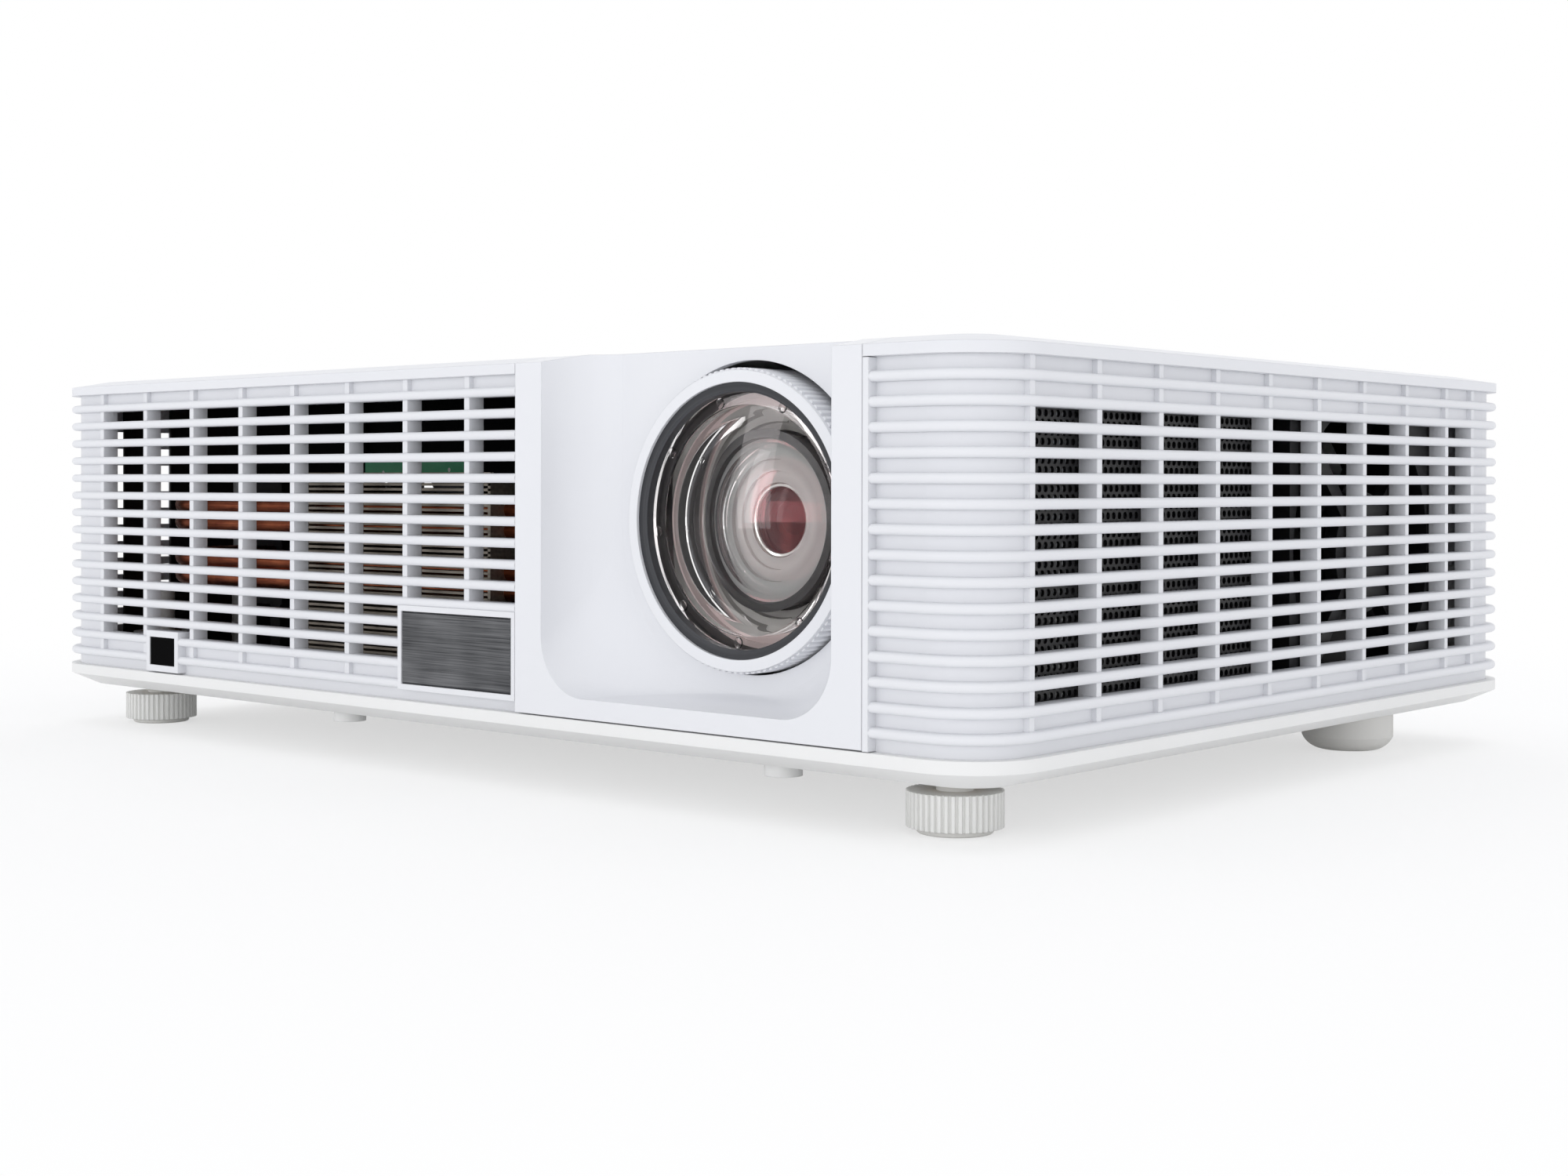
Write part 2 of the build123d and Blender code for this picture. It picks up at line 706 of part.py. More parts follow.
def badge_frame_span():
    """Left, right, low and high edges of the badge plate."""
    right = BEZEL_L - BADGE_END_GAP
    low = BASE_SEAM_Z + BADGE_RISE
    return right - BADGE_W, right, low, low + BADGE_H


def ir_span():
    """Left, right, low and high edges of the remote-control window."""
    left = LEFT + IR_FROM_LEFT
    low = BASE_SEAM_Z + IR_RISE
    return left, left + IR_W, low, low + IR_H


def front_grille():
    """Slatted front wall, with the front left corner, the badge frame and the window frame."""
    x0 = LEFT + CORNER_R
    x1 = BEZEL_L - SEAM
    wall = extrude(front_section(x0), x1 - x0)
    wall += corner_turn(front_section(x0), -1, -1, -90)
    window_end = BEZEL_L - FRONT_WINDOW_END_GAP
    wall -= front_windows(LEFT + FRONT_WINDOW_START, window_end, FRONT_CLOSED_ROWS + 1,
                          ROWS - FOOT_CLOSED_ROWS)
    wall += front_bars()
    bl, br, bz0, bz1 = badge_frame_span()
    frame_right = min(br + BADGE_FRAME, x1)
    wall += block(bl - BADGE_FRAME, frame_right, FRONT, FRONT + WALL_BACK,
                  bz0 - BADGE_FRAME, bz1 + BADGE_FRAME)
    pocket = BADGE_T + SEAT_GAP
    wall -= block(bl - SEAT_GAP, br + SEAT_GAP, FRONT - CUT, FRONT + pocket, bz0 - SEAT_GAP, bz1 + SEAT_GAP)
    il, ir, iz0, iz1 = ir_span()
    wall += block(il - IR_FRAME, ir + IR_FRAME, FRONT, FRONT + WALL_BACK, iz0 - IR_FRAME, iz1 + IR_FRAME)
    wall -= block(il - SEAT_GAP, ir + SEAT_GAP, FRONT - CUT, FRONT + IR_T + SEAT_GAP,
                  iz0 - SEAT_GAP, iz1 + SEAT_GAP)
    wall -= block(il + IR_LIP, ir - IR_LIP, FRONT, FRONT + WALL_BACK + CUT, iz0 + IR_LIP, iz1 - IR_LIP)
    return wall


def badge_plate():
    """Bare plate seated in its frame."""
    bl, br, bz0, bz1 = badge_frame_span()
    plate = block(bl, br, FRONT, FRONT + BADGE_T, bz0, bz1)
    return chamfer(plate.faces().sort_by(Axis.Y)[0].edges(), BADGE_CHAMFER)


def ir_window():
    """Dark window of the remote-control receiver."""
    il, ir, iz0, iz1 = ir_span()
    return block(il, ir, FRONT + IR_SET, FRONT + IR_T, iz0, iz1)


def side_columns():
    """Start and end along Y of each window column of a side wall."""
    end = REAR - SIDE_WINDOW_END
    spans = []
    for k in range(SIDE_COLUMNS):
        start = FRONT + SIDE_WINDOW_START + k * SIDE_BAR_PITCH
        spans.append((start, min(start + SIDE_BAR_PITCH - BAR_W, end)))
    return spans


def side_windows(inner, outer):
    """Cutters that open a side wall between its slats."""
    spans = side_columns()
    y0 = spans[0][0]
    y1 = spans[-1][1]
    rows = range(SIDE_CLOSED_ROWS + 1, ROWS - FOOT_CLOSED_ROWS + 1)
    return [block(inner, outer, y0, y1, row_low(row), row_top(row)) for row in rows]


def side_bars(inner, outer, first):
    """Upright bars that divide the windows of a side wall, from one column on."""
    low = row_low(ROWS - 1)
    spans = side_columns()
    starts = [span[0] - BAR_W for span in spans[first:]]
    starts.append(spans[-1][1])
    return [block(inner, outer, y, y + BAR_W, low, ROWS_TOP) for y in starts]


def right_grille():
    """Slatted right wall, from the lens bezel round both corners to the rear panel."""
    x0 = BEZEL_R + SEAM
    y0 = FRONT + CORNER_R
    y1 = REAR - CORNER_R
    wall = extrude(front_section(x0), RIGHT - CORNER_R - x0)
    wall += corner_turn(front_section(RIGHT - CORNER_R), 1, -1, 90)
    wall += extrude(right_section(y0), y1 - y0)
    wall += corner_turn(right_section(y1), 1, 1, 90)
    wall -= side_windows(RIGHT - WALL_BACK - CUT, RIGHT + CUT)
    wall += side_bars(RIGHT - BAR_BACK, RIGHT - BAR_FRONT, 0)
    wall += block(x0, x0 + END_POST_W, FRONT, FRONT + WALL_BACK, BASE_SEAM_Z + SEAM, ROWS_TOP - SEAM)
    return wall


def left_grille():
    """Slatted left wall with the rear left corner."""
    y0 = FRONT + CORNER_R + SEAM
    y1 = REAR - CORNER_R
    wall = extrude(left_section(y1), y1 - y0)
    wall += corner_turn(left_section(y1), -1, 1, -90)
    wall -= side_windows(LEFT - CUT, LEFT + WALL_BACK + CUT)
    wall += side_bars(LEFT + BAR_FRONT, LEFT + BAR_BACK, 1)
    return wall


def intake_mesh():
    """Black sheet seated on the bars behind the columns in front of the intake fan."""
    fan_edge = INTAKE_FAN_Y - FAN_SIDE / 2
    covered = [span for span in side_columns() if span[1] + BAR_W < fan_edge]
    x1 = RIGHT - BAR_BACK - SEAT_GAP
    low = row_low(ROWS - FOOT_CLOSED_ROWS + 1)
    high = row_top(SIDE_CLOSED_ROWS)
    return block(x1 - MESH_T, x1, covered[0][0] - BAR_W, covered[-1][1] + BAR_W, low, high)


# Shells

def base_tray():
    """Lower shell with its posts, bosses and holes."""
    tray = loft([rounded_face(BASE_CHAMFER_IN, BASE_BOTTOM), rounded_face(0, CHAMFER_TOP)], ruled=True)
    tray += rounded_slab(0, CHAMFER_TOP, BASE_SEAM_Z)
    tray -= rounded_slab(BASE_CAVITY_IN, FLOOR_TOP, LEDGE_Z)
    tray -= rounded_slab(RIM_T, LEDGE_Z, BASE_SEAM_Z + CUT)
    for x, y in FOOT_PLACES:
        tray += upright(FOOT_NUT_R + FOOT_BOSS_WALL, x, y, FLOOR_TOP - JOIN, FOOT_NUT_TOP)
        tray -= upright(FOOT_NUT_R + GLASS_FIT, x, y, BASE_BOTTOM - CUT, FOOT_NUT_TOP + CUT)
    for x, y in POST_PLACES:
        tray += upright(POST_R, x, y, FLOOR_TOP - JOIN, POST_TOP)
        tray -= upright(COUNTERBORE_R, x, y, BASE_BOTTOM - CUT, POST_TOP - POST_WEB)
        tray -= upright(SCREW_R + SCREW_FIT, x, y, BASE_BOTTOM, POST_TOP + CUT)
    for x, y in MOUNT_PLACES:
        tray += upright(MOUNT_BOSS_R, x, y, MOUNT_FACE_Z, FLOOR_TOP + MOUNT_RISE)
        tray -= upright(MOUNT_INSERT_R + GLASS_FIT, x, y, MOUNT_FACE_Z - CUT, MOUNT_FACE_Z + MOUNT_INSERT_LEN)
    for x, y in REAR_FOOT_PLACES:
        tray -= upright(REAR_PEG_R + GLASS_FIT, x, y, BASE_BOTTOM - CUT, FLOOR_TOP + CUT)
    return tray


def top_cover():
    """Upper shell with its bosses and the keypad's pocket and holes."""
    cover = rounded_slab(0, ROWS_TOP, LIP_TOP)
    cover += loft([rounded_face(0, LIP_TOP), rounded_face(BEVEL_IN, PLATEAU)], ruled=True)
    cover -= rounded_slab(RIM_T, ROWS_TOP - CUT, COVER_EDGE_Z)
    cover -= rounded_slab(COVER_POCKET_IN, ROWS_TOP - CUT, COVER_UNDER)
    for x, y in POST_PLACES:
        cover += upright(BOSS_R, x, y, POST_TOP + SEAT_GAP, COVER_UNDER + JOIN)
        cover -= upright(SCREW_R + SCREW_FIT, x, y, POST_TOP - CUT, POST_TOP + PILOT_DEPTH)
    notch_back = BEZEL_BACK + SEAM
    cover -= block(BEZEL_L - SEAM, BEZEL_R + SEAM, FRONT - CUT, notch_back, ROWS_TOP - CUT, PLATEAU + CUT)
    half_w = KEYPAD_W / 2 + SEAT_GAP
    half_d = KEYPAD_D / 2 + SEAT_GAP
    cover -= block(KEYPAD_X - half_w, KEYPAD_X + half_w, KEYPAD_Y - half_d, KEYPAD_Y + half_d,
                   PLATEAU - KEYPAD_T, PLATEAU + CUT)
    for x, y in KEY_PLACES.values():
        cover -= upright(BUTTON_R + BUTTON_FIT, x, y, COVER_UNDER - CUT, PLATEAU + CUT)
    for x, y in LIGHT_PLACES:
        cover -= upright(LIGHT_R + GLASS_FIT, x, y, COVER_UNDER - CUT, PLATEAU + CUT)
    for x in keypad_peg_xs():
        peg_low = KEYPAD_BOARD_TOP + SEAT_GAP
        cover += upright(KEYPAD_PEG_R, x, KEYPAD_Y + KEYPAD_D / 4, peg_low, COVER_UNDER + JOIN)
    return cover


def keypad_peg_xs():
    """Places along X of the pegs that hold the keypad board."""
    reach = KEYPAD_W / 2 - KEYPAD_PEG_IN
    return [KEYPAD_X - reach, KEYPAD_X + reach]


def scoop_outline(x0, x1, z0, left_r, right_r, y):
    """Outline of the recess at one depth, open past the top of the case."""
    top = PLATEAU + CUT
    bow = 1 - cos(pi / 4)
    left_mid = (x0 + left_r * bow, z0 + left_r * bow)
    right_mid = (x1 - right_r * bow, z0 + right_r * bow)
    edges = [
        Line((x0, top), (x0, z0 + left_r)),
        ThreePointArc((x0, z0 + left_r), left_mid, (x0 + left_r, z0)),
        Line((x0 + left_r, z0), (x1 - right_r, z0)),
        ThreePointArc((x1 - right_r, z0), right_mid, (x1, z0 + right_r)),
        Line((x1, z0 + right_r), (x1, top)),
        Line((x1, top), (x0, top)),
    ]
    return Plane(origin=(0, y, 0), x_dir=(1, 0, 0), z_dir=(0, -1, 0)) * make_face(edges)


def scoop(grow):
    """Scooped recess, or with a growth the shell behind it."""
    mouth = (BEZEL_L + SCOOP_LEFT, BASE_SEAM_Z + SCOOP_RISE, SCOOP_CORNER_R, SCOOP_CORNER_R)
    face = (LENS_X - RING_R - FACE_MARGIN_LEFT, LENS_Z - RING_R - FACE_MARGIN_LOW,
            RING_R + FACE_ROUND_LEFT, RING_R + FACE_ROUND_RIGHT)
    middle = [a + (b - a) * SCOOP_MID_SHARE for a, b in zip(mouth, face)]
    right = BEZEL_R - SCOOP_RIGHT + grow
    sections = []
    for values, depth in ((mouth, 0.0), (middle, SCOOP_MID_DEPTH + grow), (face, SCOOP_DEPTH + grow)):
        left, low, left_r, right_r = values
        outline = scoop_outline(left - grow, right, low - grow, left_r + grow, right_r + grow, FRONT + depth)
        sections.append(outline)
    return loft(sections)


def lens_bezel():
    """Panel around the lens, with the recess open at the top and the hole for the focus ring."""
    low = BASE_SEAM_Z + BEZEL_SEAM
    left = BEZEL_L
    right = BEZEL_R
    plate = block(left, right, FRONT, FRONT + BEZEL_T, low, LIP_TOP)
    mid_y = FRONT + BEVEL_IN
    under = COVER_T
    roof_points = [(FRONT, LIP_TOP - under), (FRONT, LIP_TOP), (mid_y, PLATEAU), (BEZEL_BACK, PLATEAU),
                   (BEZEL_BACK, PLATEAU - under), (mid_y, PLATEAU - under)]
    shape_points = [(FRONT, low), (FRONT, LIP_TOP), (mid_y, PLATEAU), (BEZEL_BACK, PLATEAU),
                    (BEZEL_BACK, low)]
    side = Plane(origin=(left, 0, 0), x_dir=(0, 1, 0), z_dir=(1, 0, 0))
    roof = extrude(side * make_face(Polyline(*roof_points, close=True)), right - left)
    envelope = extrude(side * make_face(Polyline(*shape_points, close=True)), right - left)
    bezel = ((plate + roof + scoop(BEZEL_T)) & envelope) - scoop(0.0)
    hole_z = LENS_Z + LENS_HOLE_RAISE
    bezel -= rod(RING_R + LENS_HOLE_GAP, (LENS_X, FRONT, hole_z), (LENS_X, BEZEL_BACK + CUT, hole_z))
    return bezel


def port_holes():
    """Cutters for the connectors in the rear panel."""
    y0 = REAR - WALL_BACK - CUT
    y1 = REAR + CUT
    grow = PORT_FIT
    cutters = [block(x - w / 2 - grow, x + w / 2 + grow, y0, y1, BOARD_TOP - grow, BOARD_TOP + h + grow)
               for x, w, h in port_places().values()]
    cutters += [block(x - HDMI_W / 2 - grow, x + HDMI_W / 2 + grow, y0, y1, BOARD_TOP - grow,
                      BOARD_TOP + HDMI_H + grow) for x in hdmi_xs()]
    cutters.append(block(AC_X - AC_W / 2 - grow, AC_X + AC_W / 2 + grow, y0, y1,
                         AC_Z - AC_H / 2 - grow, AC_Z + AC_H / 2 + grow))
    return cutters


def rear_panel():
    """Flat rear wall with the connector holes and the speaker slots."""
    x1 = RIGHT - CORNER_R - SEAM
    panel = block(-x1, x1, REAR - WALL_BACK, REAR - FIN_DEPTH, WALL_LOW, WALL_HIGH)
    panel += block(-x1, x1, REAR - WALL_BACK, REAR_FACE, BASE_SEAM_Z + SEAM, ROWS_TOP - SEAM)
    panel -= port_holes()
    sx, sz = speaker_centre()
    half = SPEAKER_SLOT_H / 2
    for k in range(SPEAKER_SLOTS):
        z = sz + (k - (SPEAKER_SLOTS - 1) / 2) * SPEAKER_SLOT_PITCH
        panel -= block(sx - SPEAKER_R, sx + SPEAKER_R, REAR - WALL_BACK - CUT, REAR + CUT, z - half, z + half)
    return panel


# Keypad

def keypad_plate():
    """Thin plate with holes for the buttons and lights."""
    plate = block(KEYPAD_X - KEYPAD_W / 2, KEYPAD_X + KEYPAD_W / 2, KEYPAD_Y - KEYPAD_D / 2,
                  KEYPAD_Y + KEYPAD_D / 2, PLATEAU - KEYPAD_T, PLATEAU)
    plate = fillet(plate.edges().filter_by(Axis.Z), KEYPAD_CORNER_R)
    for x, y in KEY_PLACES.values():
        plate -= upright(BUTTON_R + BUTTON_FIT, x, y, COVER_UNDER, PLATEAU + CUT)
    for x, y in LIGHT_PLACES:
        plate -= upright(LIGHT_R + GLASS_FIT, x, y, COVER_UNDER, PLATEAU + CUT)
    return plate


def button(name):
    """Round key with a flange that keeps it under the cover."""
    x, y = KEY_PLACES[name]
    cap = upright(BUTTON_R, x, y, COVER_UNDER - JOIN, PLATEAU + BUTTON_PROUD)
    cap = fillet(cap.faces().sort_by(Axis.Z)[-1].edges(), BUTTON_EDGE_R)
    flange_top = COVER_UNDER - BUTTON_FLANGE_GAP
    return cap + upright(BUTTON_R + BUTTON_FLANGE, x, y, flange_top - BUTTON_FLANGE_T, flange_top)


def keypad_board():
    """Switch board under the buttons."""
    half_w = KEYPAD_W / 2
    half_d = KEYPAD_D / 2 - KEYPAD_BOARD_IN
    return block(KEYPAD_X - half_w, KEYPAD_X + half_w, KEYPAD_Y - half_d, KEYPAD_Y + half_d,
                 KEYPAD_BOARD_TOP - PCB_T, KEYPAD_BOARD_TOP)


def indicator_lights():
    """Light pipes beside the keys."""
    return [upright(LIGHT_R, x, y, KEYPAD_BOARD_TOP + SEAT_GAP, PLATEAU + LIGHT_PROUD)
            for x, y in LIGHT_PLACES]


# Lens

def focus_ring():
    """Knurled ring that turns on the lens barrel."""
    knurled = along(ribbed_disc(RING_R, KNURL_DEPTH, KNURLS, RING_LEN - RING_LIP),
                    (LENS_X, RING_FRONT + RING_LIP, LENS_Z), (0, 1, 0), (1, 0, 0))
    lip_back = RING_FRONT + RING_LIP + JOIN
    ring = knurled + rod(RING_R - KNURL_DEPTH, (LENS_X, RING_FRONT, LENS_Z), (LENS_X, lip_back, LENS_Z))
    bore = BARREL_R + RUN_FIT
    ring -= rod(bore, (LENS_X, RING_FRONT - CUT, LENS_Z), (LENS_X, RING_BACK + CUT, LENS_Z))
    return ring


def front_retainer():
    """Dark ring that holds the front glass in the barrel."""
    inner = BARREL_R - RETAINER_W
    return turned_on_y([(inner, RETAINER_Y + RETAINER_CHAMFER), (inner + RETAINER_CHAMFER, RETAINER_Y),
                        (BARREL_R, RETAINER_Y), (BARREL_R, BARREL_FRONT), (inner, BARREL_FRONT)])


def lens_barrel():
    """Stepped tube with a collar for the ring, a narrow neck and a flange on the engine."""
    seat_r = REAR_GLASS_R + GLASS_FIT
    collar_front = RING_BACK + RING_END_GAP
    rear_wall = NECK_BACK - REAR_SEAT_LEN
    return turned_on_y([
        (BARREL_BORE, BARREL_FRONT), (BARREL_R, BARREL_FRONT), (BARREL_R, collar_front),
        (BARREL_COLLAR_R, collar_front), (BARREL_COLLAR_R, collar_front + BARREL_COLLAR_T),
        (BARREL_R, collar_front + BARREL_COLLAR_T), (BARREL_R, BARREL_BACK), (NECK_R, BARREL_BACK),
        (NECK_R, NECK_BACK - FLANGE_T), (FLANGE_R, NECK_BACK - FLANGE_T), (FLANGE_R, NECK_BACK),
        (seat_r, NECK_BACK), (seat_r, rear_wall), (NECK_BORE, rear_wall),
        (NECK_BORE, BARREL_BACK - BARREL_WALL), (BARREL_BORE, BARREL_BACK - BARREL_WALL),
    ])


def front_element():
    """Large meniscus glass with its flat moulded flange."""
    edge_r = BARREL_BORE - GLASS_FIT
    clear_r = edge_r - GLASS_FLANGE_W
    flange_y = BARREL_FRONT + SEAT_GAP
    apex_y = flange_y - GLASS_FRONT_SAG + GLASS_STEP
    front_rim = (clear_r, flange_y + GLASS_STEP)
    back_rim_r = clear_r - GLASS_BACK_IN
    back_apex = apex_y + GLASS_CENTRE_T
    back_rim = (back_rim_r, back_apex + GLASS_BACK_SAG)
    flange_back = flange_y + GLASS_FLANGE_T
    edges = [
        dome(clear_r, apex_y, front_rim[1]),
        Line(front_rim, (clear_r, flange_y)),
        Line((clear_r, flange_y), (edge_r, flange_y)),
        Line((edge_r, flange_y), (edge_r, flange_back)),
        Line((edge_r, flange_back), (clear_r, flange_back)),
        Line((clear_r, flange_back), (clear_r, back_rim[1])),
        Line((clear_r, back_rim[1]), back_rim),
        dome(back_rim_r, back_apex, back_rim[1]),
        Line((0, back_apex), (0, apex_y)),
    ]
    return turned_edges_on_y(edges)


def baffle_cone():
    """Stepped cone that shades the inside of the barrel."""
    outer = BARREL_BORE - GLASS_FIT
    back = BARREL_BACK - BARREL_WALL - SEAT_GAP
    front = back - BAFFLE_LEN
    mouth = outer - BAFFLE_LIP
    points = [(outer, back), (outer, front), (mouth, front)]
    step_y = BAFFLE_CONE_LEN / BAFFLE_STEPS
    step_r = (mouth - BAFFLE_SMALL_R) / BAFFLE_STEPS
    for k in range(BAFFLE_STEPS):
        r = mouth - k * step_r
        points.append((r, front + (k + BAFFLE_FLAT) * step_y))
        points.append((r - step_r, front + (k + BAFFLE_EDGE) * step_y))
    points.append((BAFFLE_SMALL_R, back))
    return turned_on_y(points)


def cell_front():
    """Front of the sliding cell, ahead of the neck that guides it."""
    return BARREL_BACK - CELL_FORWARD


def second_back():
    """Back edge of the domed glass in the cell."""
    return cell_front() + SECOND_SET + SECOND_LEN


def rear_seat_front():
    """Front of the small glass's seat, behind the cell's steps."""
    return second_back() + SEAT_GAP + CELL_STEPS * CELL_STEP_T


def focus_cell():
    """Sliding cell with a seat for the domed glass and, behind round steps, one for the small glass."""
    outer = NECK_BORE - RUN_FIT
    front = cell_front()
    back = front + CELL_LEN
    seat = CELL_BORE_R + GLASS_FIT
    lip = CELL_BORE_R - CELL_LIP
    small = REAR_GLASS_R + GLASS_FIT
    step_r = (lip - small - CELL_RIM_W) / CELL_STEPS
    web_back = rear_seat_front() + REAR_GLASS_SET + REAR_GLASS_T + CELL_LIP_T
    points = [(seat, front), (outer, front), (outer, back), (CELL_BORE_R, back), (CELL_BORE_R, web_back),
              (small, web_back), (small, rear_seat_front())]
    for k in range(CELL_STEPS):
        r = small + CELL_RIM_W + k * step_r
        y = rear_seat_front() - k * CELL_STEP_T
        points.append((r, y))
        points.append((r, y - CELL_STEP_T))
    points.append((lip, second_back() + SEAT_GAP))
    points.append((seat, second_back() + SEAT_GAP))
    return turned_on_y(points)


def second_element():
    """Domed glass with a hollow back, in the sliding cell."""
    edge = CELL_BORE_R
    back_r = edge - SECOND_BACK_IN
    front = cell_front() + SECOND_SET
    apex = front - SECOND_BULGE
    back = second_back()
    edges = [
        dome(edge, apex, front),
        Line((edge, front), (edge, back)),
        Line((edge, back), (back_r, back)),
        dome(back_r, back - SECOND_BACK_SAG, back),
        Line((0, back - SECOND_BACK_SAG), (0, apex)),
    ]
    return turned_edges_on_y(edges)


def rear_element():
    """Small glass behind the domed one, in the same cell."""
    front = rear_seat_front() + REAR_GLASS_SET
    back = front + REAR_GLASS_T
    apex = front - REAR_GLASS_BULGE
    edges = [
        dome(REAR_GLASS_R, apex, front),
        Line((REAR_GLASS_R, front), (REAR_GLASS_R, back)),
        Line((REAR_GLASS_R, back), (0, back)),
        Line((0, back), (0, apex)),
    ]
    return turned_edges_on_y(edges)


# Optical engine

def engine_housing():
    """Cast housing between lens, light tunnel and image chip."""
    low, high = ENGINE_LOW, ENGINE_HIGH
    front = NECK_BACK + SEAT_GAP
    wall = ENGINE_WALL
    box = block(ENGINE_L, ENGINE_R, front, ENGINE_BACK, low, high)
    box = chamfer(box.edges().filter_by(Axis.Y), ENGINE_CHAMFER)
    box -= block(ENGINE_L + wall, ENGINE_R - wall, front + wall, ENGINE_BACK - wall, low + wall, high - wall)
    box -= rod(REAR_GLASS_R, (LENS_X, front - CUT, LENS_Z), (LENS_X, front + wall + CUT, LENS_Z))
    half = TUNNEL_SIDE / 2 + SEAT_GAP
    box -= block(ENGINE_L - CUT, ENGINE_L + wall + CUT, TUNNEL_Y - half, TUNNEL_Y + half,
                 LENS_Z - half, LENS_Z + half)
    box -= block(LENS_X - CHIP_W / 2, LENS_X + CHIP_W / 2, ENGINE_BACK - wall - CUT, ENGINE_BACK + CUT,
                 LENS_Z - CHIP_H / 2, LENS_Z + CHIP_H / 2)
    for x in (ENGINE_L + ENGINE_POST_IN_X, ENGINE_R - ENGINE_POST_IN_X):
        for y in (front + ENGINE_POST_IN_Y, ENGINE_BACK - ENGINE_POST_IN_Y):
            box += upright(ENGINE_POST_R, x, y, FLOOR_TOP, low + CUT)
    return box


def dmd_board():
    """Upright board with the image chip, behind the engine."""
    y0 = ENGINE_BACK + CHIP_T
    board = block(LENS_X - DMD_BOARD_W / 2, LENS_X + DMD_BOARD_W / 2, y0, y0 + PCB_T,
                  LENS_Z - DMD_BOARD_H / 2, LENS_Z + DMD_BOARD_H / 2)
    half_w = CHIP_W / 2 + CHIP_RIM
    half_h = CHIP_H / 2 + CHIP_RIM
    board += block(LENS_X - half_w, LENS_X + half_w, ENGINE_BACK + SEAT_GAP, y0,
                   LENS_Z - half_h, LENS_Z + half_h)
    return board


def dmd_heatsink():
    """Finned block behind the image chip."""
    y0 = ENGINE_BACK + CHIP_T + PCB_T + SEAT_GAP
    x0 = LENS_X - DMD_SINK_W / 2
    z0 = LENS_Z - DMD_SINK_H / 2
    z1 = LENS_Z + DMD_SINK_H / 2
    sink = block(x0, x0 + DMD_SINK_W, y0, y0 + DMD_SINK_BASE, z0, z1)
    step = (DMD_SINK_W - SINK_FIN_T) / (DMD_SINK_FINS - 1)
    for k in range(DMD_SINK_FINS):
        x = x0 + k * step
        sink += block(x, x + SINK_FIN_T, y0 + DMD_SINK_BASE - JOIN, y0 + DMD_SINK_DEPTH, z0, z1)
    return sink


def light_tunnel():
    """Square glass-walled tube that leads light into the engine."""
    half = TUNNEL_SIDE / 2
    inner = half - TUNNEL_WALL
    tunnel = block(TUNNEL_START, TUNNEL_END, TUNNEL_Y - half, TUNNEL_Y + half, LENS_Z - half, LENS_Z + half)
    tunnel -= block(TUNNEL_START - CUT, TUNNEL_END + CUT, TUNNEL_Y - inner, TUNNEL_Y + inner,
                    LENS_Z - inner, LENS_Z + inner)
    return tunnel


def spinning_wheel(radius):
    """Thin disc with a hub and a shaft hole, on +Z."""
    disc = upright(radius, 0, 0, 0, WHEEL_T) + upright(WHEEL_HUB_R, 0, 0, -WHEEL_HUB_T, 0)
    return disc - upright(SHAFT_R + SHAFT_FIT, 0, 0, -WHEEL_HUB_T - CUT, WHEEL_T + CUT)


def wheel_motor():
    """Motor body and shaft on +Z, with its front face at the wheel's hub."""
    face = -WHEEL_HUB_T - SEAM
    shaft_low = face - CUT
    body = upright(MOTOR_R, 0, 0, face - MOTOR_LEN, face)
    return body + upright(SHAFT_R, 0, 0, shaft_low, shaft_low + WHEEL_HUB_T + WHEEL_T)


def colour_wheel():
    """Filter wheel in front of the light tunnel."""
    return along(spinning_wheel(WHEEL_R), (WHEEL_X, TUNNEL_Y, WHEEL_Z), (1, 0, 0), (0, 1, 0))


def colour_wheel_motor():
    """Motor of the filter wheel, with its bracket on the base."""
    motor = along(wheel_motor(), (WHEEL_X, TUNNEL_Y, WHEEL_Z), (1, 0, 0), (0, 1, 0))
    x1 = WHEEL_X - WHEEL_HUB_T - SEAM - MOTOR_LEN
    half = BRACKET_W / 2
    motor += block(x1 - BRACKET_T, x1 + JOIN, TUNNEL_Y - half, TUNNEL_Y + half, FLOOR_TOP, WHEEL_Z + MOTOR_R)
    motor += block(x1 - BRACKET_FOOT, x1, TUNNEL_Y - half, TUNNEL_Y + half, FLOOR_TOP, FLOOR_TOP + BRACKET_T)
    return motor


def phosphor_place():
    """Centre of the phosphor wheel."""
    return TUNNEL_START - PHOSPHOR_FROM_TUNNEL, TUNNEL_Y, LENS_Z - PHOSPHOR_R + PHOSPHOR_SPOT_IN


def phosphor_wheel():
    """Phosphor wheel, facing the laser bank."""
    return along(spinning_wheel(PHOSPHOR_R), phosphor_place(), (0, -1, 0), (1, 0, 0))


def phosphor_wheel_motor():
    """Motor of the phosphor wheel, with its bracket on the base."""
    x, y, z = phosphor_place()
    motor = along(wheel_motor(), (x, y, z), (0, -1, 0), (1, 0, 0))
    y0 = y + WHEEL_HUB_T + SEAM + MOTOR_LEN
    half = BRACKET_W / 2
    motor += block(x - half, x + half, y0 - JOIN, y0 + BRACKET_T, FLOOR_TOP, z + MOTOR_R)
    motor += block(x - half, x + half, y0, y0 + BRACKET_FOOT, FLOOR_TOP, FLOOR_TOP + BRACKET_T)
    return motor


# Laser light source and cooler

def pipe_ys():
    """Depths of the two pipes in each pipe row."""
    return SINK_Y + PIPE_FIRST_IN, SINK_Y + PIPE_FIRST_IN + PIPE_SPACING


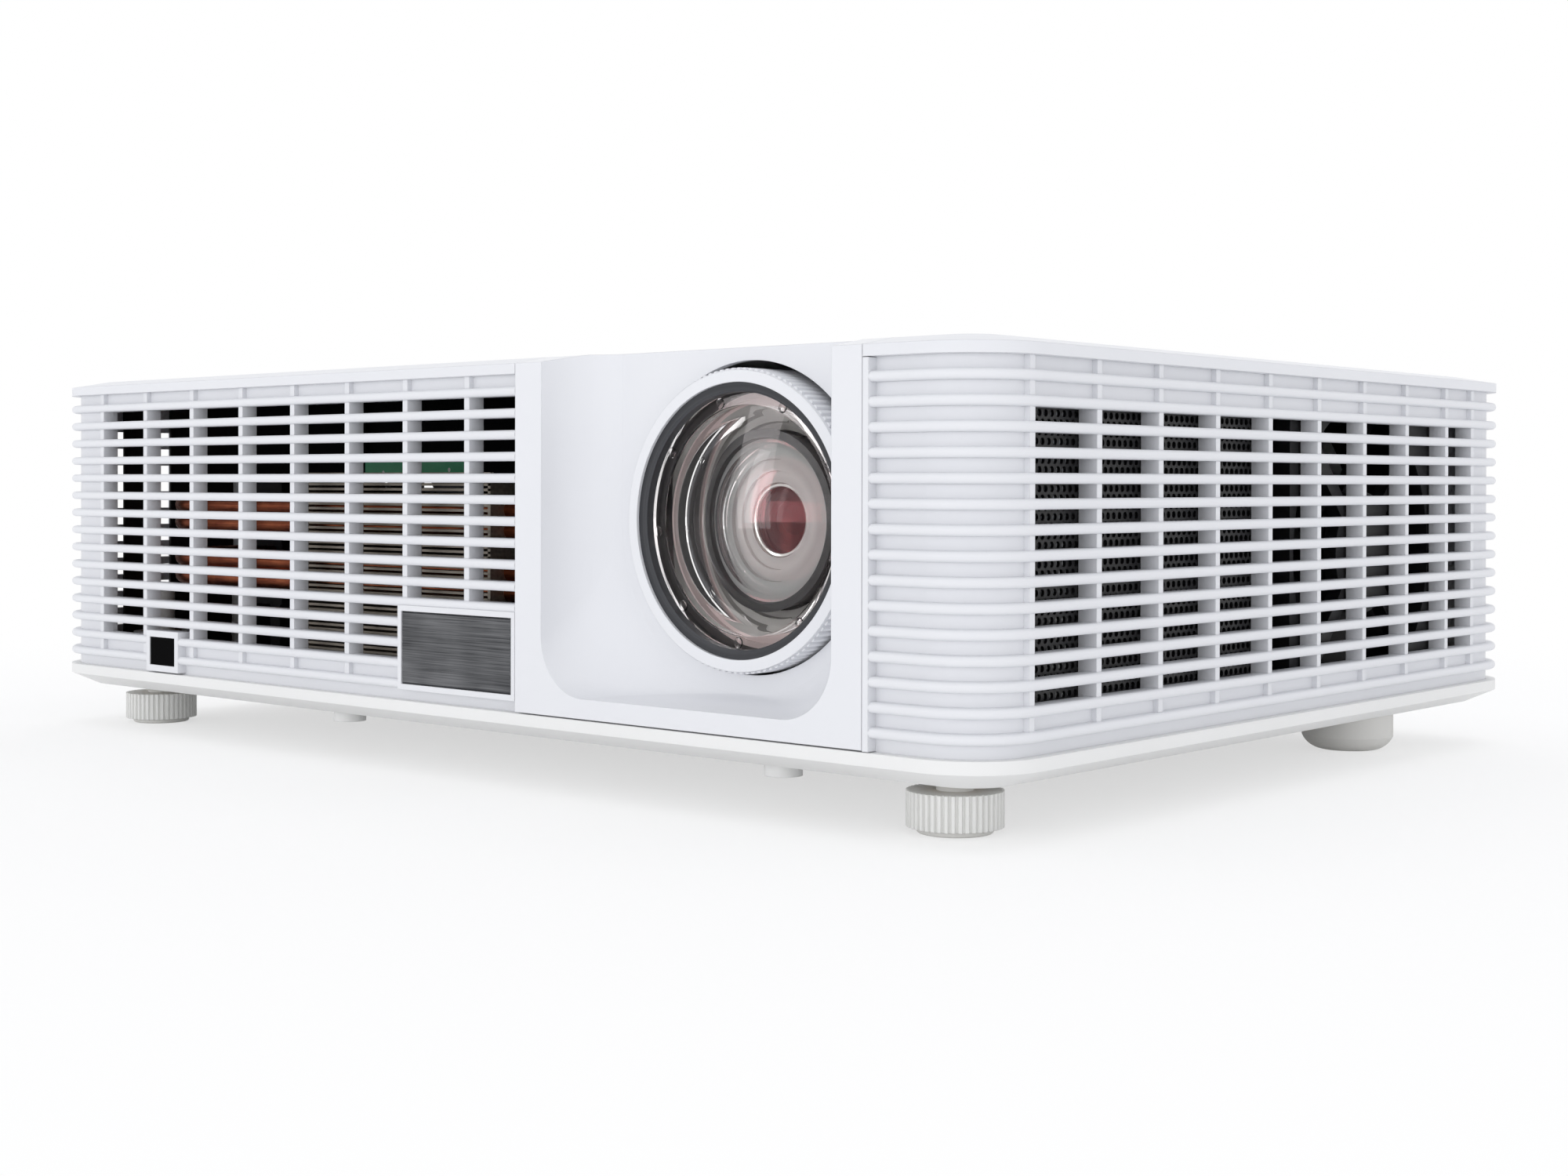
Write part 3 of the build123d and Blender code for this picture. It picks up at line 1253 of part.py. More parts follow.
def heat_pipes():
    """Copper pipes from the fin stack round to the laser bank."""
    pipes = []
    for row in PIPE_ROWS:
        z = row_middle(row)
        for y in pipe_ys():
            bend = PIPE_TURN_Y - y
            x_end = PIPE_TURN_X - bend
            x_start = SINK_R_X + PIPE_END_OUT
            path = FilletPolyline((x_start, y, z), (x_end, y, z), (x_end, LASER_Y, z), radius=bend)
            start = Plane(origin=(x_start, y, z), z_dir=(-1, 0, 0))
            pipes.append(sweep(start * Circle(PIPE_R), path=path))
    return pipes


def laser_heatsink():
    """Stack of level fins between two end plates, slotted for the pipes."""
    y1 = SINK_Y + SINK_D
    high = SINK_LOW + (SINK_FINS - 1) * SINK_PITCH + SINK_PLATE_T
    sink = block(SINK_L_X, SINK_L_X + SINK_END_T, SINK_Y, y1, FLOOR_TOP, high)
    sink += block(SINK_R_X - SINK_END_T, SINK_R_X, SINK_Y, y1, FLOOR_TOP, high)
    for k in range(SINK_FINS):
        z = SINK_LOW + k * SINK_PITCH
        sink += block(SINK_L_X, SINK_R_X, SINK_Y, y1, z, z + SINK_PLATE_T)
    for row in PIPE_ROWS:
        z = row_middle(row)
        for y in pipe_ys():
            sink -= rod(PIPE_R + PIPE_FIT, (SINK_L_X - CUT, y, z), (SINK_R_X + CUT, y, z))
    return sink


def laser_bank():
    """Cold plate and laser block at the end of the pipes."""
    x_far = PIPE_TURN_X - (PIPE_TURN_Y - pipe_ys()[0])
    x_near = PIPE_TURN_X - (PIPE_TURN_Y - pipe_ys()[1])
    mid = (x_far + x_near) / 2
    left = mid - LASER_W / 2
    right = mid + LASER_W / 2
    z0 = row_middle(PIPE_ROWS[-1]) - LASER_MARGIN_LOW
    z1 = row_middle(PIPE_ROWS[0]) + LASER_MARGIN_HIGH
    y1 = LASER_Y + LASER_D
    step = LASER_BLOCK_IN
    bank = block(left, right, LASER_Y, LASER_Y + LASER_PLATE_T, z0, z1)
    bank += block(left + step, right - step, LASER_Y, y1, z0 + LASER_BLOCK_LOWER, z1 - LASER_BLOCK_LOWER)
    bank += block(left, right, LASER_Y, y1, FLOOR_TOP, FLOOR_TOP + LASER_FOOT_T)
    half_leg = LASER_LEG_W / 2
    for x in (left + step, right - step):
        bank += block(x - half_leg, x + half_leg, LASER_Y, y1, FLOOR_TOP, z0 + step)
    for y in (LASER_Y + DIODE_FIRST_Y, LASER_Y + DIODE_FIRST_Y + DIODE_STEP_Y):
        for z in (z0 + DIODE_FIRST_Z, z0 + DIODE_FIRST_Z + DIODE_STEP_Z):
            bank += rod(DIODE_R, (right - step - CUT, y, z), (right - step + DIODE_LEN, y, z))
    return bank


# Boards and connectors

def port_places():
    """Centre along X, width and height of each connector hole, from the right end of the board."""
    sizes = [("audio", AUDIO_W, AUDIO_H), ("usb", USB_W, USB_H), ("lan", LAN_W, LAN_H), ("vga", VGA_W, VGA_H)]
    places = {}
    x = BOARD_R_X - PORT_END_GAP
    for name, width, height in sizes:
        places[name] = (x - width / 2, width, height)
        x -= width + PORT_SPACING
    return places


def hdmi_xs():
    """Places along X of the digital video sockets, at the left end of the board."""
    return [BOARD_L_X + PORT_END_GAP + HDMI_W / 2 + k * HDMI_STEP for k in range(HDMI_COUNT)]


def main_board():
    """Signal board on its standoffs, with its chips and an upright strip on its front edge."""
    board = block(BOARD_L_X, BOARD_R_X, BOARD_FRONT, BOARD_REAR, BOARD_Z, BOARD_TOP)
    strip_x = BOARD_L_X + STRIP_FROM_LEFT
    board += block(strip_x, strip_x + STRIP_W, BOARD_FRONT - PCB_T, BOARD_FRONT + JOIN,
                   BOARD_Z - STRIP_DROP, BOARD_TOP + STRIP_RISE)
    for x, y in STANDOFF_PLACES:
        board -= upright(SCREW_R + SCREW_FIT, x, y, BOARD_Z - CUT, BOARD_TOP + CUT)
    mid_x = (BOARD_L_X + BOARD_R_X) / 2
    for dx, dy, w, h in MAIN_CHIPS:
        x = mid_x + dx
        y = BOARD_REAR + dy
        board += block(x - w / 2, x + w / 2, y - w / 2, y + w / 2, BOARD_TOP - SOLDER_IN, BOARD_TOP + h)
    return board


def board_standoffs():
    """Metal pillars under the signal board."""
    pillars = []
    for x, y in STANDOFF_PLACES:
        pillar = upright(STANDOFF_R, x, y, FLOOR_TOP, BOARD_Z)
        pillars.append(pillar - upright(SCREW_R + SCREW_FIT, x, y, BOARD_Z - STANDOFF_THREAD, BOARD_Z + CUT))
    return pillars


def screw(x, y, head_z, tip_z):
    """Pan-head screw; the head lies on the far side of head_z from the tip."""
    away = SCREW_HEAD_H if head_z > tip_z else -SCREW_HEAD_H
    shank = rod(SCREW_R, (x, y, head_z), (x, y, tip_z))
    return shank + rod(SCREW_HEAD_R, (x, y, head_z), (x, y, head_z + away))


def board_screws():
    """Screws that hold the signal board."""
    return [screw(x, y, BOARD_TOP, BOARD_TOP - BOARD_SCREW_LEN) for x, y in STANDOFF_PLACES]


def case_screws():
    """Screws that draw the top cover down to the base."""
    return [screw(x, y, POST_TOP - POST_WEB, POST_TOP + PILOT_DEPTH - CASE_SCREW_END_GAP)
            for x, y in POST_PLACES]


def socket(x, width, height, depth, mouth):
    """Connector shell on the board, with a mouth of some width, height and depth at the rear."""
    mouth_w, mouth_h, mouth_depth = mouth
    shell = block(x - width / 2, x + width / 2, PORT_FACE - depth, PORT_FACE, BOARD_TOP, BOARD_TOP + height)
    z = BOARD_TOP + height / 2
    return shell - block(x - mouth_w / 2, x + mouth_w / 2, PORT_FACE - mouth_depth, PORT_FACE + CUT,
                         z - mouth_h / 2, z + mouth_h / 2)


def tongue(x, z, heights, root_y, front_y):
    """Contact tongue in a socket, between two heights from its middle."""
    half = TONGUE_W / 2
    return block(x - half, x + half, root_y - TONGUE_ROOT, front_y, z + heights[0], z + heights[1])


def hdmi_ports():
    """Digital video sockets."""
    z = BOARD_TOP + HDMI_H / 2
    root = PORT_FACE - HDMI_MOUTH[2]
    return [socket(x, HDMI_W, HDMI_H, HDMI_DEPTH, HDMI_MOUTH)
            + tongue(x, z, HDMI_TONGUE, root, PORT_FACE - HDMI_TONGUE_SET) for x in hdmi_xs()]


def usb_port():
    """Service power socket."""
    x, width, height = port_places()["usb"]
    port = socket(x, width, height, USB_DEPTH, USB_MOUTH)
    root = PORT_FACE - USB_MOUTH[2]
    return port + tongue(x, BOARD_TOP + height / 2, USB_TONGUE, root, PORT_FACE - USB_TONGUE_SET)


def lan_port():
    """Network socket."""
    x, width, height = port_places()["lan"]
    return socket(x, width, height, LAN_DEPTH, LAN_MOUTH)


def vga_port():
    """D-shaped analogue video socket with its pin holes and two posts."""
    x, width, height = port_places()["vga"]
    z = BOARD_TOP + height / 2
    port = block(x - width / 2, x + width / 2, PORT_FACE - VGA_DEPTH, PORT_FACE - VGA_BODY_SET,
                 BOARD_TOP, BOARD_TOP + height)
    top = VGA_TOP_W / 2
    low = VGA_LOW_W / 2
    rise = VGA_SHELL_H / 2
    outline = Polyline((x - top, z + rise), (x + top, z + rise), (x + low, z - rise), (x - low, z - rise),
                       close=True)
    shell = Plane(origin=(0, PORT_FACE, 0), x_dir=(1, 0, 0), z_dir=(0, -1, 0)) * make_face(outline)
    port += extrude(shell, VGA_NOSE)
    for row in range(VGA_PIN_ROWS):
        for k in range(VGA_PINS_WIDE):
            px = x + (k - (VGA_PINS_WIDE - 1) / 2) * VGA_PIN_STEP_X
            pz = z + (row - (VGA_PIN_ROWS - 1) / 2) * VGA_PIN_STEP_Z
            port -= rod(VGA_PIN_R, (px, PORT_FACE - VGA_PIN_DEPTH, pz), (px, PORT_FACE + CUT, pz))
    for side in (-1, 1):
        px = x + side * VGA_POST_X
        port += rod(VGA_POST_R, (px, PORT_FACE - VGA_NOSE, z), (px, PORT_FACE, z))
    return port


def audio_jacks():
    """Three round sound sockets on one block."""
    x, width, height = port_places()["audio"]
    jacks = block(x - width / 2, x + width / 2, PORT_FACE - AUDIO_DEPTH, PORT_FACE - CUT,
                  BOARD_TOP, BOARD_TOP + height)
    z = BOARD_TOP + height / 2
    for k in (-1, 0, 1):
        jx = x + k * AUDIO_STEP
        jacks += rod(AUDIO_NOSE_R, (jx, PORT_FACE - CUT - JOIN, z), (jx, PORT_FACE, z))
        jacks -= rod(AUDIO_BORE_R, (jx, PORT_FACE - AUDIO_BORE_DEPTH, z), (jx, PORT_FACE + CUT, z))
    return jacks


def board_legs(x0, x1, y0, y1, board_z):
    """Pillars under the corners of a board."""
    return [upright(BOARD_LEG_R, x, y, FLOOR_TOP, board_z + JOIN)
            for x in (x0 + BOARD_LEG_IN, x1 - BOARD_LEG_IN)
            for y in (y0 + BOARD_LEG_IN, y1 - BOARD_LEG_IN)]


def power_supply_board():
    """Power board with its transformer, coils and capacitors."""
    right = PSU_L + PSU_W
    board = block(PSU_L, right, PSU_FRONT, PSU_REAR, PSU_Z, PSU_Z + PCB_T)
    top = PSU_Z + PCB_T - SOLDER_IN
    for x0, x1, y0, y1, height in PSU_BLOCKS:
        board += block(PSU_L + x0, PSU_L + x1, PSU_FRONT + y0, PSU_FRONT + y1, top, top + height)
    for k in range(3):
        y = PSU_FRONT + CAPACITOR_Y + k * CAPACITOR_STEP
        board += upright(CAPACITOR_R, PSU_L + CAPACITOR_X, y, top, top + CAPACITOR_H)
    return board + board_legs(PSU_L, right, PSU_FRONT, PSU_REAR, PSU_Z)


def driver_board():
    """Laser driver board on its own pillars."""
    x0 = PSU_L + PSU_W + DRIVER_GAP
    x1 = x0 + DRIVER_W
    y0 = PSU_REAR - DRIVER_D
    board = block(x0, x1, y0, PSU_REAR, DRIVER_Z, DRIVER_Z + PCB_T)
    top = DRIVER_Z + PCB_T - SOLDER_IN
    coil_y = y0 + DRIVER_COIL_IN
    for k in range(DRIVER_COILS):
        x = x0 + DRIVER_COIL_IN + k * DRIVER_COIL_STEP
        board += block(x, x + DRIVER_COIL_W, coil_y, coil_y + DRIVER_COIL_W, top, top + DRIVER_COIL_H)
    return board + board_legs(x0, x1, y0, PSU_REAR, DRIVER_Z)


def ac_inlet():
    """Mains inlet with its three pins in the pocket."""
    face = REAR_FACE + AC_FLANGE_T
    y0 = face - AC_DEPTH
    body = block(AC_X - AC_W / 2, AC_X + AC_W / 2, y0, face, AC_Z - AC_H / 2, AC_Z + AC_H / 2)
    grow = AC_FLANGE
    flange = block(AC_X - AC_W / 2 - grow, AC_X + AC_W / 2 + grow, REAR_FACE + AC_FLANGE_SEAT, face,
                   AC_Z - AC_H / 2 - grow, AC_Z + AC_H / 2 + grow)
    floor_y = face - AC_POCKET_DEPTH
    pocket = block(AC_X - AC_POCKET_W / 2, AC_X + AC_POCKET_W / 2, floor_y, face + CUT,
                   AC_Z - AC_POCKET_H / 2, AC_Z + AC_POCKET_H / 2)
    pocket = chamfer(pocket.edges().filter_by(Axis.Y).group_by(Axis.Z)[-1], AC_POCKET_CHAMFER)
    inlet = body + flange - pocket
    for k, rise in ((-1, LINE_PIN_RISE), (0, EARTH_PIN_RISE), (1, LINE_PIN_RISE)):
        x = AC_X + k * PIN_SPACING
        z = AC_Z + rise
        inlet += block(x - PIN_W / 2, x + PIN_W / 2, floor_y - CUT, floor_y + PIN_LEN,
                       z - PIN_H / 2, z + PIN_H / 2)
    return inlet


def speaker_centre():
    """Centre of the speaker on the rear panel."""
    return RIGHT - SPEAKER_FROM_RIGHT, FLOOR_TOP + SPEAKER_H / 2 + SPEAKER_RISE


def speaker():
    """Boxed speaker that fires through the rear slots."""
    x, z = speaker_centre()
    y1 = REAR - WALL_BACK - SEAM
    box = block(x - SPEAKER_W / 2, x + SPEAKER_W / 2, y1 - SPEAKER_DEPTH, y1, LEDGE_Z, z + SPEAKER_H / 2)
    cone = Plane(origin=(x, y1, z), x_dir=(1, 0, 0), z_dir=(0, -1, 0))
    low = (Align.CENTER, Align.CENTER, Align.MIN)
    dish = cone.location * Cone(SPEAKER_R, SPEAKER_R / 3, SPEAKER_CONE_DEPTH, align=low)
    return box - dish


# Fans, built on +Z and laid along X

def fan_frame_shape():
    """Square fan frame with its hub and struts, standing on its own origin."""
    half = FAN_SIDE / 2
    frame = block(-half, half, -half, half, 0, FAN_T)
    frame = fillet(frame.edges().filter_by(Axis.Z), FAN_CORNER_R)
    frame -= upright(FAN_BORE_R, 0, 0, -CUT, FAN_T + CUT)
    frame += upright(FAN_HUB_R, 0, 0, 0, FAN_STRUT_T)
    strut = block(0, FAN_BORE_R + CUT, -FAN_STRUT_W / 2, FAN_STRUT_W / 2, 0, FAN_STRUT_T)
    for k in range(FAN_STRUTS):
        frame += Rot(0, 0, 360 / FAN_STRUTS * (k + 0.5)) * strut
    frame -= upright(FAN_SHAFT_R + SHAFT_FIT, 0, 0, -CUT, FAN_STRUT_T + CUT)
    place = half - FAN_HOLE_IN
    for x in (-place, place):
        for y in (-place, place):
            frame -= upright(FAN_HOLE_R, x, y, -CUT, FAN_T + CUT)
    return frame


def fan_rotor_shape():
    """Hub cup, shaft and slanted blades."""
    lift = FAN_STRUT_T + FAN_RUN_GAP
    height = FAN_T - lift - FAN_RUN_GAP
    tip = FAN_BORE_R - FAN_TIP_GAP
    chord = height / sin(FAN_PITCH_DEG * pi / 180) * FAN_CHORD_SHARE
    blade = block(0, tip, -chord / 2, chord / 2, -FAN_BLADE_T / 2, FAN_BLADE_T / 2)
    blades = Part()
    for k in range(FAN_BLADES):
        turn = Rot(0, 0, 360 / FAN_BLADES * k) * Pos(0, 0, lift + height / 2) * Rot(FAN_PITCH_DEG, 0, 0)
        blades += turn * blade
    rotor = upright(FAN_HUB_R, 0, 0, lift, lift + height)
    rotor += blades & upright(tip, 0, 0, lift, lift + height)
    return rotor + upright(FAN_SHAFT_R, 0, 0, FAN_SHAFT_SET, FAN_SHAFT_SET + lift)


def intake_fan_place(shape):
    """Fan laid against the right wall, blowing in."""
    x = RIGHT - BAR_BACK - FAN_WALL_GAP
    return along(shape, (x, INTAKE_FAN_Y, fan_height()), (-1, 0, 0), (0, 1, 0))


def exhaust_fan_place(shape):
    """Fan laid against the left wall, blowing out."""
    x = LEFT + BAR_BACK + FAN_WALL_GAP
    return along(shape, (x, EXHAUST_FAN_Y, fan_height()), (1, 0, 0), (0, 1, 0))


def fan_height():
    """Height of the fan axes: the frames stand just over the floor."""
    return FLOOR_TOP + SEAT_GAP + BASE_LEDGE_RISE + FAN_SIDE / 2


# Feet and fittings

def foot_knob(place):
    """Ribbed thumb screw with its stud."""
    x, y = place
    low = FOOT_KNOB_LOW + FOOT_LIFT
    knob = Pos(x, y, low) * ribbed_disc(FOOT_KNOB_R, FOOT_RIB_DEPTH, FOOT_RIBS, FOOT_KNOB_TOP - low)
    knob -= upright(FOOT_PAD_R + FOOT_PAD_GAP, x, y, 0, FOOT_PAD_H + FOOT_LIFT)
    spigot_top = FOOT_PAD_H + FOOT_PAD_SPIGOT_H
    knob -= upright(FOOT_PAD_SPIGOT_R + SHAFT_FIT, x, y, 0, spigot_top + FOOT_PAD_GAP)
    return knob + upright(FOOT_STUD_R, x, y, FOOT_KNOB_TOP - CUT, FOOT_STUD_TOP)


def foot_pad(place):
    """Swivel pad under a thumb screw."""
    x, y = place
    pad = upright(FOOT_PAD_R, x, y, 0, FOOT_PAD_H)
    pad = fillet(pad.faces().sort_by(Axis.Z)[0].edges(), FOOT_PAD_EDGE_R)
    return pad + upright(FOOT_PAD_SPIGOT_R, x, y, FOOT_PAD_H - JOIN, FOOT_PAD_H + FOOT_PAD_SPIGOT_H)


def foot_nuts():
    """Threaded bushes for the foot studs."""
    bore = FOOT_STUD_R + RUN_FIT
    return [upright(FOOT_NUT_R, x, y, BASE_BOTTOM, FOOT_NUT_TOP)
            - upright(bore, x, y, BASE_BOTTOM - CUT, FOOT_NUT_TOP + CUT) for x, y in FOOT_PLACES]


def rear_feet():
    """Two domed feet with pegs into the base."""
    feet = []
    dome_mid = (REAR_FOOT_R * REAR_DOME_MID[0], REAR_FOOT_DOME * REAR_DOME_MID[1])
    for x, y in REAR_FOOT_PLACES:
        edges = [
            Line((0, 0), (REAR_FOOT_FLAT_R, 0)),
            ThreePointArc((REAR_FOOT_FLAT_R, 0), dome_mid, (REAR_FOOT_R, REAR_FOOT_DOME)),
            Line((REAR_FOOT_R, REAR_FOOT_DOME), (REAR_FOOT_R, BASE_BOTTOM)),
            Line((REAR_FOOT_R, BASE_BOTTOM), (0, BASE_BOTTOM)),
            Line((0, BASE_BOTTOM), (0, 0)),
        ]
        face = Plane(origin=(x, y, 0), x_dir=(1, 0, 0), z_dir=(0, -1, 0)) * make_face(edges)
        foot = revolve(face, Axis((x, y, 0), (0, 0, 1)), 360)
        feet.append(foot + upright(REAR_PEG_R, x, y, BASE_BOTTOM - JOIN, BASE_BOTTOM + REAR_PEG_H))
    return feet


def mount_inserts():
    """Threaded inserts of the ceiling mount."""
    inserts = []
    for x, y in MOUNT_PLACES:
        top = MOUNT_FACE_Z + MOUNT_INSERT_LEN - SEAT_GAP
        insert = upright(MOUNT_INSERT_R, x, y, MOUNT_FACE_Z, top)
        inserts.append(insert - upright(MOUNT_BORE_R, x, y, MOUNT_FACE_Z - CUT, top + CUT))
    return inserts


def nodes():
    """Every piece by its name."""
    frame = fan_frame_shape()
    rotor = fan_rotor_shape()
    pieces = {
        "base_tray": base_tray(),
        "top_cover": top_cover(),
        "front_grille": front_grille(),
        "left_grille": left_grille(),
        "right_grille": right_grille(),
        "lens_bezel": lens_bezel(),
        "rear_panel": rear_panel(),
        "badge_plate": badge_plate(),
        "ir_window": ir_window(),
        "intake_mesh": intake_mesh(),
        "keypad_plate": keypad_plate(),
        "keypad_board": keypad_board(),
        "indicator_lights": indicator_lights(),
        "focus_ring": focus_ring(),
        "front_retainer": front_retainer(),
        "lens_barrel": lens_barrel(),
        "front_element": front_element(),
        "baffle_cone": baffle_cone(),
        "focus_cell": focus_cell(),
        "second_element": second_element(),
        "rear_element": rear_element(),
        "engine_housing": engine_housing(),
        "dmd_board": dmd_board(),
        "dmd_heatsink": dmd_heatsink(),
        "light_tunnel": light_tunnel(),
        "colour_wheel": colour_wheel(),
        "phosphor_wheel": phosphor_wheel(),
        "wheel_motors": [colour_wheel_motor(), phosphor_wheel_motor()],
        "laser_bank": laser_bank(),
        "laser_heatsink": laser_heatsink(),
        "heat_pipes": heat_pipes(),
        "main_board": main_board(),
        "board_standoffs": board_standoffs(),
        "screws": board_screws() + case_screws(),
        "hdmi_ports": hdmi_ports(),
        "lan_port": lan_port(),
        "usb_port": usb_port(),
        "vga_port": vga_port(),
        "audio_jacks": audio_jacks(),
        "power_supply_board": power_supply_board(),
        "driver_board": driver_board(),
        "ac_inlet": ac_inlet(),
        "speaker": speaker(),
        "fan_frames": [intake_fan_place(frame), exhaust_fan_place(frame)],
        "intake_fan_rotor": intake_fan_place(rotor),
        "exhaust_fan_rotor": exhaust_fan_place(rotor),
        "right_foot_knob": foot_knob(FOOT_PLACES[0]),
        "left_foot_knob": foot_knob(FOOT_PLACES[1]),
        "right_foot_pad": foot_pad(FOOT_PLACES[0]),
        "left_foot_pad": foot_pad(FOOT_PLACES[1]),
        "threaded_inserts": foot_nuts() + mount_inserts(),
        "rear_feet": rear_feet(),
    }
    for name in KEY_PLACES:
        pieces[f"{name}_button"] = button(name)
    return pieces


def main():
    """Write each piece to its own file."""
    os.makedirs("parts", exist_ok=True)
    for name, piece in nodes().items():
        solids = piece if isinstance(piece, list) else [piece]
        group = Compound(children=[solid for part in solids for solid in part.solids()])
        export_step(group, f"parts/{name}.step")


main()
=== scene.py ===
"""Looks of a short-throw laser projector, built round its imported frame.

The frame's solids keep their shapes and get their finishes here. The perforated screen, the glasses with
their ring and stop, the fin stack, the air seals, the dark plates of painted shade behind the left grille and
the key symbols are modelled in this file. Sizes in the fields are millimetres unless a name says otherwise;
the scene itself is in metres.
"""
import logging
import math
from collections.abc import Callable
from dataclasses import dataclass, field
from enum import Enum
from functools import cache, partial

import bmesh
import bpy
from mathutils import Matrix, Vector


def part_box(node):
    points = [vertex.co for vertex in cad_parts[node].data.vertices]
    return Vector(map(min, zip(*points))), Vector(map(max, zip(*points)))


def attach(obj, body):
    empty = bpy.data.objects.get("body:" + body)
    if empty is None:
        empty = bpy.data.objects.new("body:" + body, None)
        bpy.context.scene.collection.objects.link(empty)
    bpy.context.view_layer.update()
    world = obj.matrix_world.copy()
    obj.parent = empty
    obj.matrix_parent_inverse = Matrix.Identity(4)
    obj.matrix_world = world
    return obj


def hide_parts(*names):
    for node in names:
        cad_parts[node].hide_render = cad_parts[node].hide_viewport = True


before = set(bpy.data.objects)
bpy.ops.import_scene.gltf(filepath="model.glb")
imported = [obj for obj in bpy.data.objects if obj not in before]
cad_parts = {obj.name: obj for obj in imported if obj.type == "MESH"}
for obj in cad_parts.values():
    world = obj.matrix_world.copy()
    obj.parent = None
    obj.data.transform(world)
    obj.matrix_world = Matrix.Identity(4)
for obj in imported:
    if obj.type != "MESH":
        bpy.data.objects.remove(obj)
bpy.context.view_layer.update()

MM = 0.001
LENS_X = 117.0
LENS_Z = 75.0
PHOTO_W = 2000
WELD_M = 1e-6
NEAR_M = 1e-7
WAVES_PER_UNIT = 20
LOG = logging.getLogger("projector")

Tree = bpy.types.NodeTree
Node = bpy.types.Node
Socket = bpy.types.NodeSocket
Adder = Callable[..., Node]
Mesh = bmesh.types.BMesh
Vert = bmesh.types.BMVert
Pair = tuple[float, float]
Point = tuple[float, float, float]
Lamp = tuple[str, Point, Pair, float]


class Axis(Enum):
    """Direction across a board, by its place in a vector."""

    Y = 1
    Z = 2


class Symbol(Enum):
    """Mark printed on a key."""

    ARROW_UP = "up"
    ARROW_DOWN = "down"
    ARROW_LEFT = "left"
    ARROW_RIGHT = "right"
    RING = "enter"
    POWER = "power"
    LINES = "menu"
    FRAME = "source"


def linear(hex_code: str) -> tuple[float, float, float, float]:
    """Turns an sRGB hex colour into linear light.

    Args:
        hex_code: colour as #RRGGBB.

    Returns:
        Red, green, blue and alpha.
    """
    parts = [int(hex_code[k:k + 2], 16) / 255 for k in (1, 3, 5)]
    light = [c / 12.92 if c <= 0.04045 else ((c + 0.055) / 1.055) ** 2.4 for c in parts]
    return light[0], light[1], light[2], 1.0


def per_mm(size: float) -> float:
    """Texture scale whose features lie this many millimetres apart."""
    return 1 / (size * MM)


def add_node(tree: Tree, kind: str, inputs: dict | None = None, **settings) -> Node:
    """Adds a node, sets it and links it.

    Args:
        tree: material or world tree.
        kind: the node's type name.
        inputs: value, socket or node for each input, by name or place; a node gives its first live output.
        settings: attributes of the node.

    Returns:
        The new node.
    """
    node = tree.nodes.new(kind)
    for name, value in settings.items():
        setattr(node, name, value)
    for key, value in (inputs or {}).items():
        if isinstance(value, Node):
            value = next(output for output in value.outputs if output.enabled)
        if isinstance(value, Socket):
            tree.links.new(value, node.inputs[key])
        else:
            node.inputs[key].default_value = value
    return node


def adder_of(owner: bpy.types.Material | bpy.types.World) -> Adder:
    """Switches to nodes and empties the tree.

    Args:
        owner: material or world.

    Returns:
        add_node for its tree.
    """
    owner.use_nodes = True
    owner.node_tree.nodes.clear()
    return partial(add_node, owner.node_tree)


def from_axis(add: Adder, place: Socket, centre: Point, across: Point) -> tuple[Node, Node]:
    """Measures from an axis of the frame.

    Args:
        add: adds a node.
        place: coordinates of the surface.
        centre: a point on the axis.
        across: 1 for each direction across the axis, 0 along it.

    Returns:
        Nodes that give the coordinates from the centre and the distance from the axis, in metres.
    """
    centred = add("ShaderNodeMapping", {"Vector": place, "Location": tuple(-c * MM for c in centre)})
    flat = add("ShaderNodeVectorMath", {0: centred, 1: across}, operation="MULTIPLY")
    return centred, add("ShaderNodeVectorMath", {0: flat}, operation="LENGTH")


def verts_of(geom: list) -> list[Vert]:
    """Picks the vertices out of an operator's mixed result."""
    return [item for item in geom if isinstance(item, Vert)]


def add_block(mesh: Mesh, low: Point, size: Point) -> list[Vert]:
    """Adds a plain block.

    Args:
        mesh: bmesh that takes it.
        low: its lowest corner.
        size: its extent along each axis.

    Returns:
        Its corners.
    """
    place = (Matrix.Translation((Vector(low) + Vector(size) / 2) * MM)
             @ Matrix.Diagonal((*(Vector(size) * MM), 1)))
    return bmesh.ops.create_cube(mesh, size=1.0, matrix=place)["verts"]


@dataclass(frozen=True)
class Finish:
    """A surface with its material's name."""

    name: str

    @cache
    def make(self) -> bpy.types.Material:
        """Builds the node material on Object coordinates, once for each finish.

        Returns:
            The material.
        """
        material = bpy.data.materials.new(self.name)
        add = adder_of(material)
        place = add("ShaderNodeTexCoord").outputs["Object"]
        shader = add("ShaderNodeBsdfPrincipled", self.dress(add, place))
        add("ShaderNodeOutputMaterial", {"Surface": shader})
        return material

    def dress(self, add: Adder, place: Socket) -> dict:
        """Adds the nodes behind the shader; each kind of finish has its own way.

        Args:
            add: adds a node.
            place: coordinates of the surface.

        Returns:
            The shader's inputs.
        """
        raise NotImplementedError


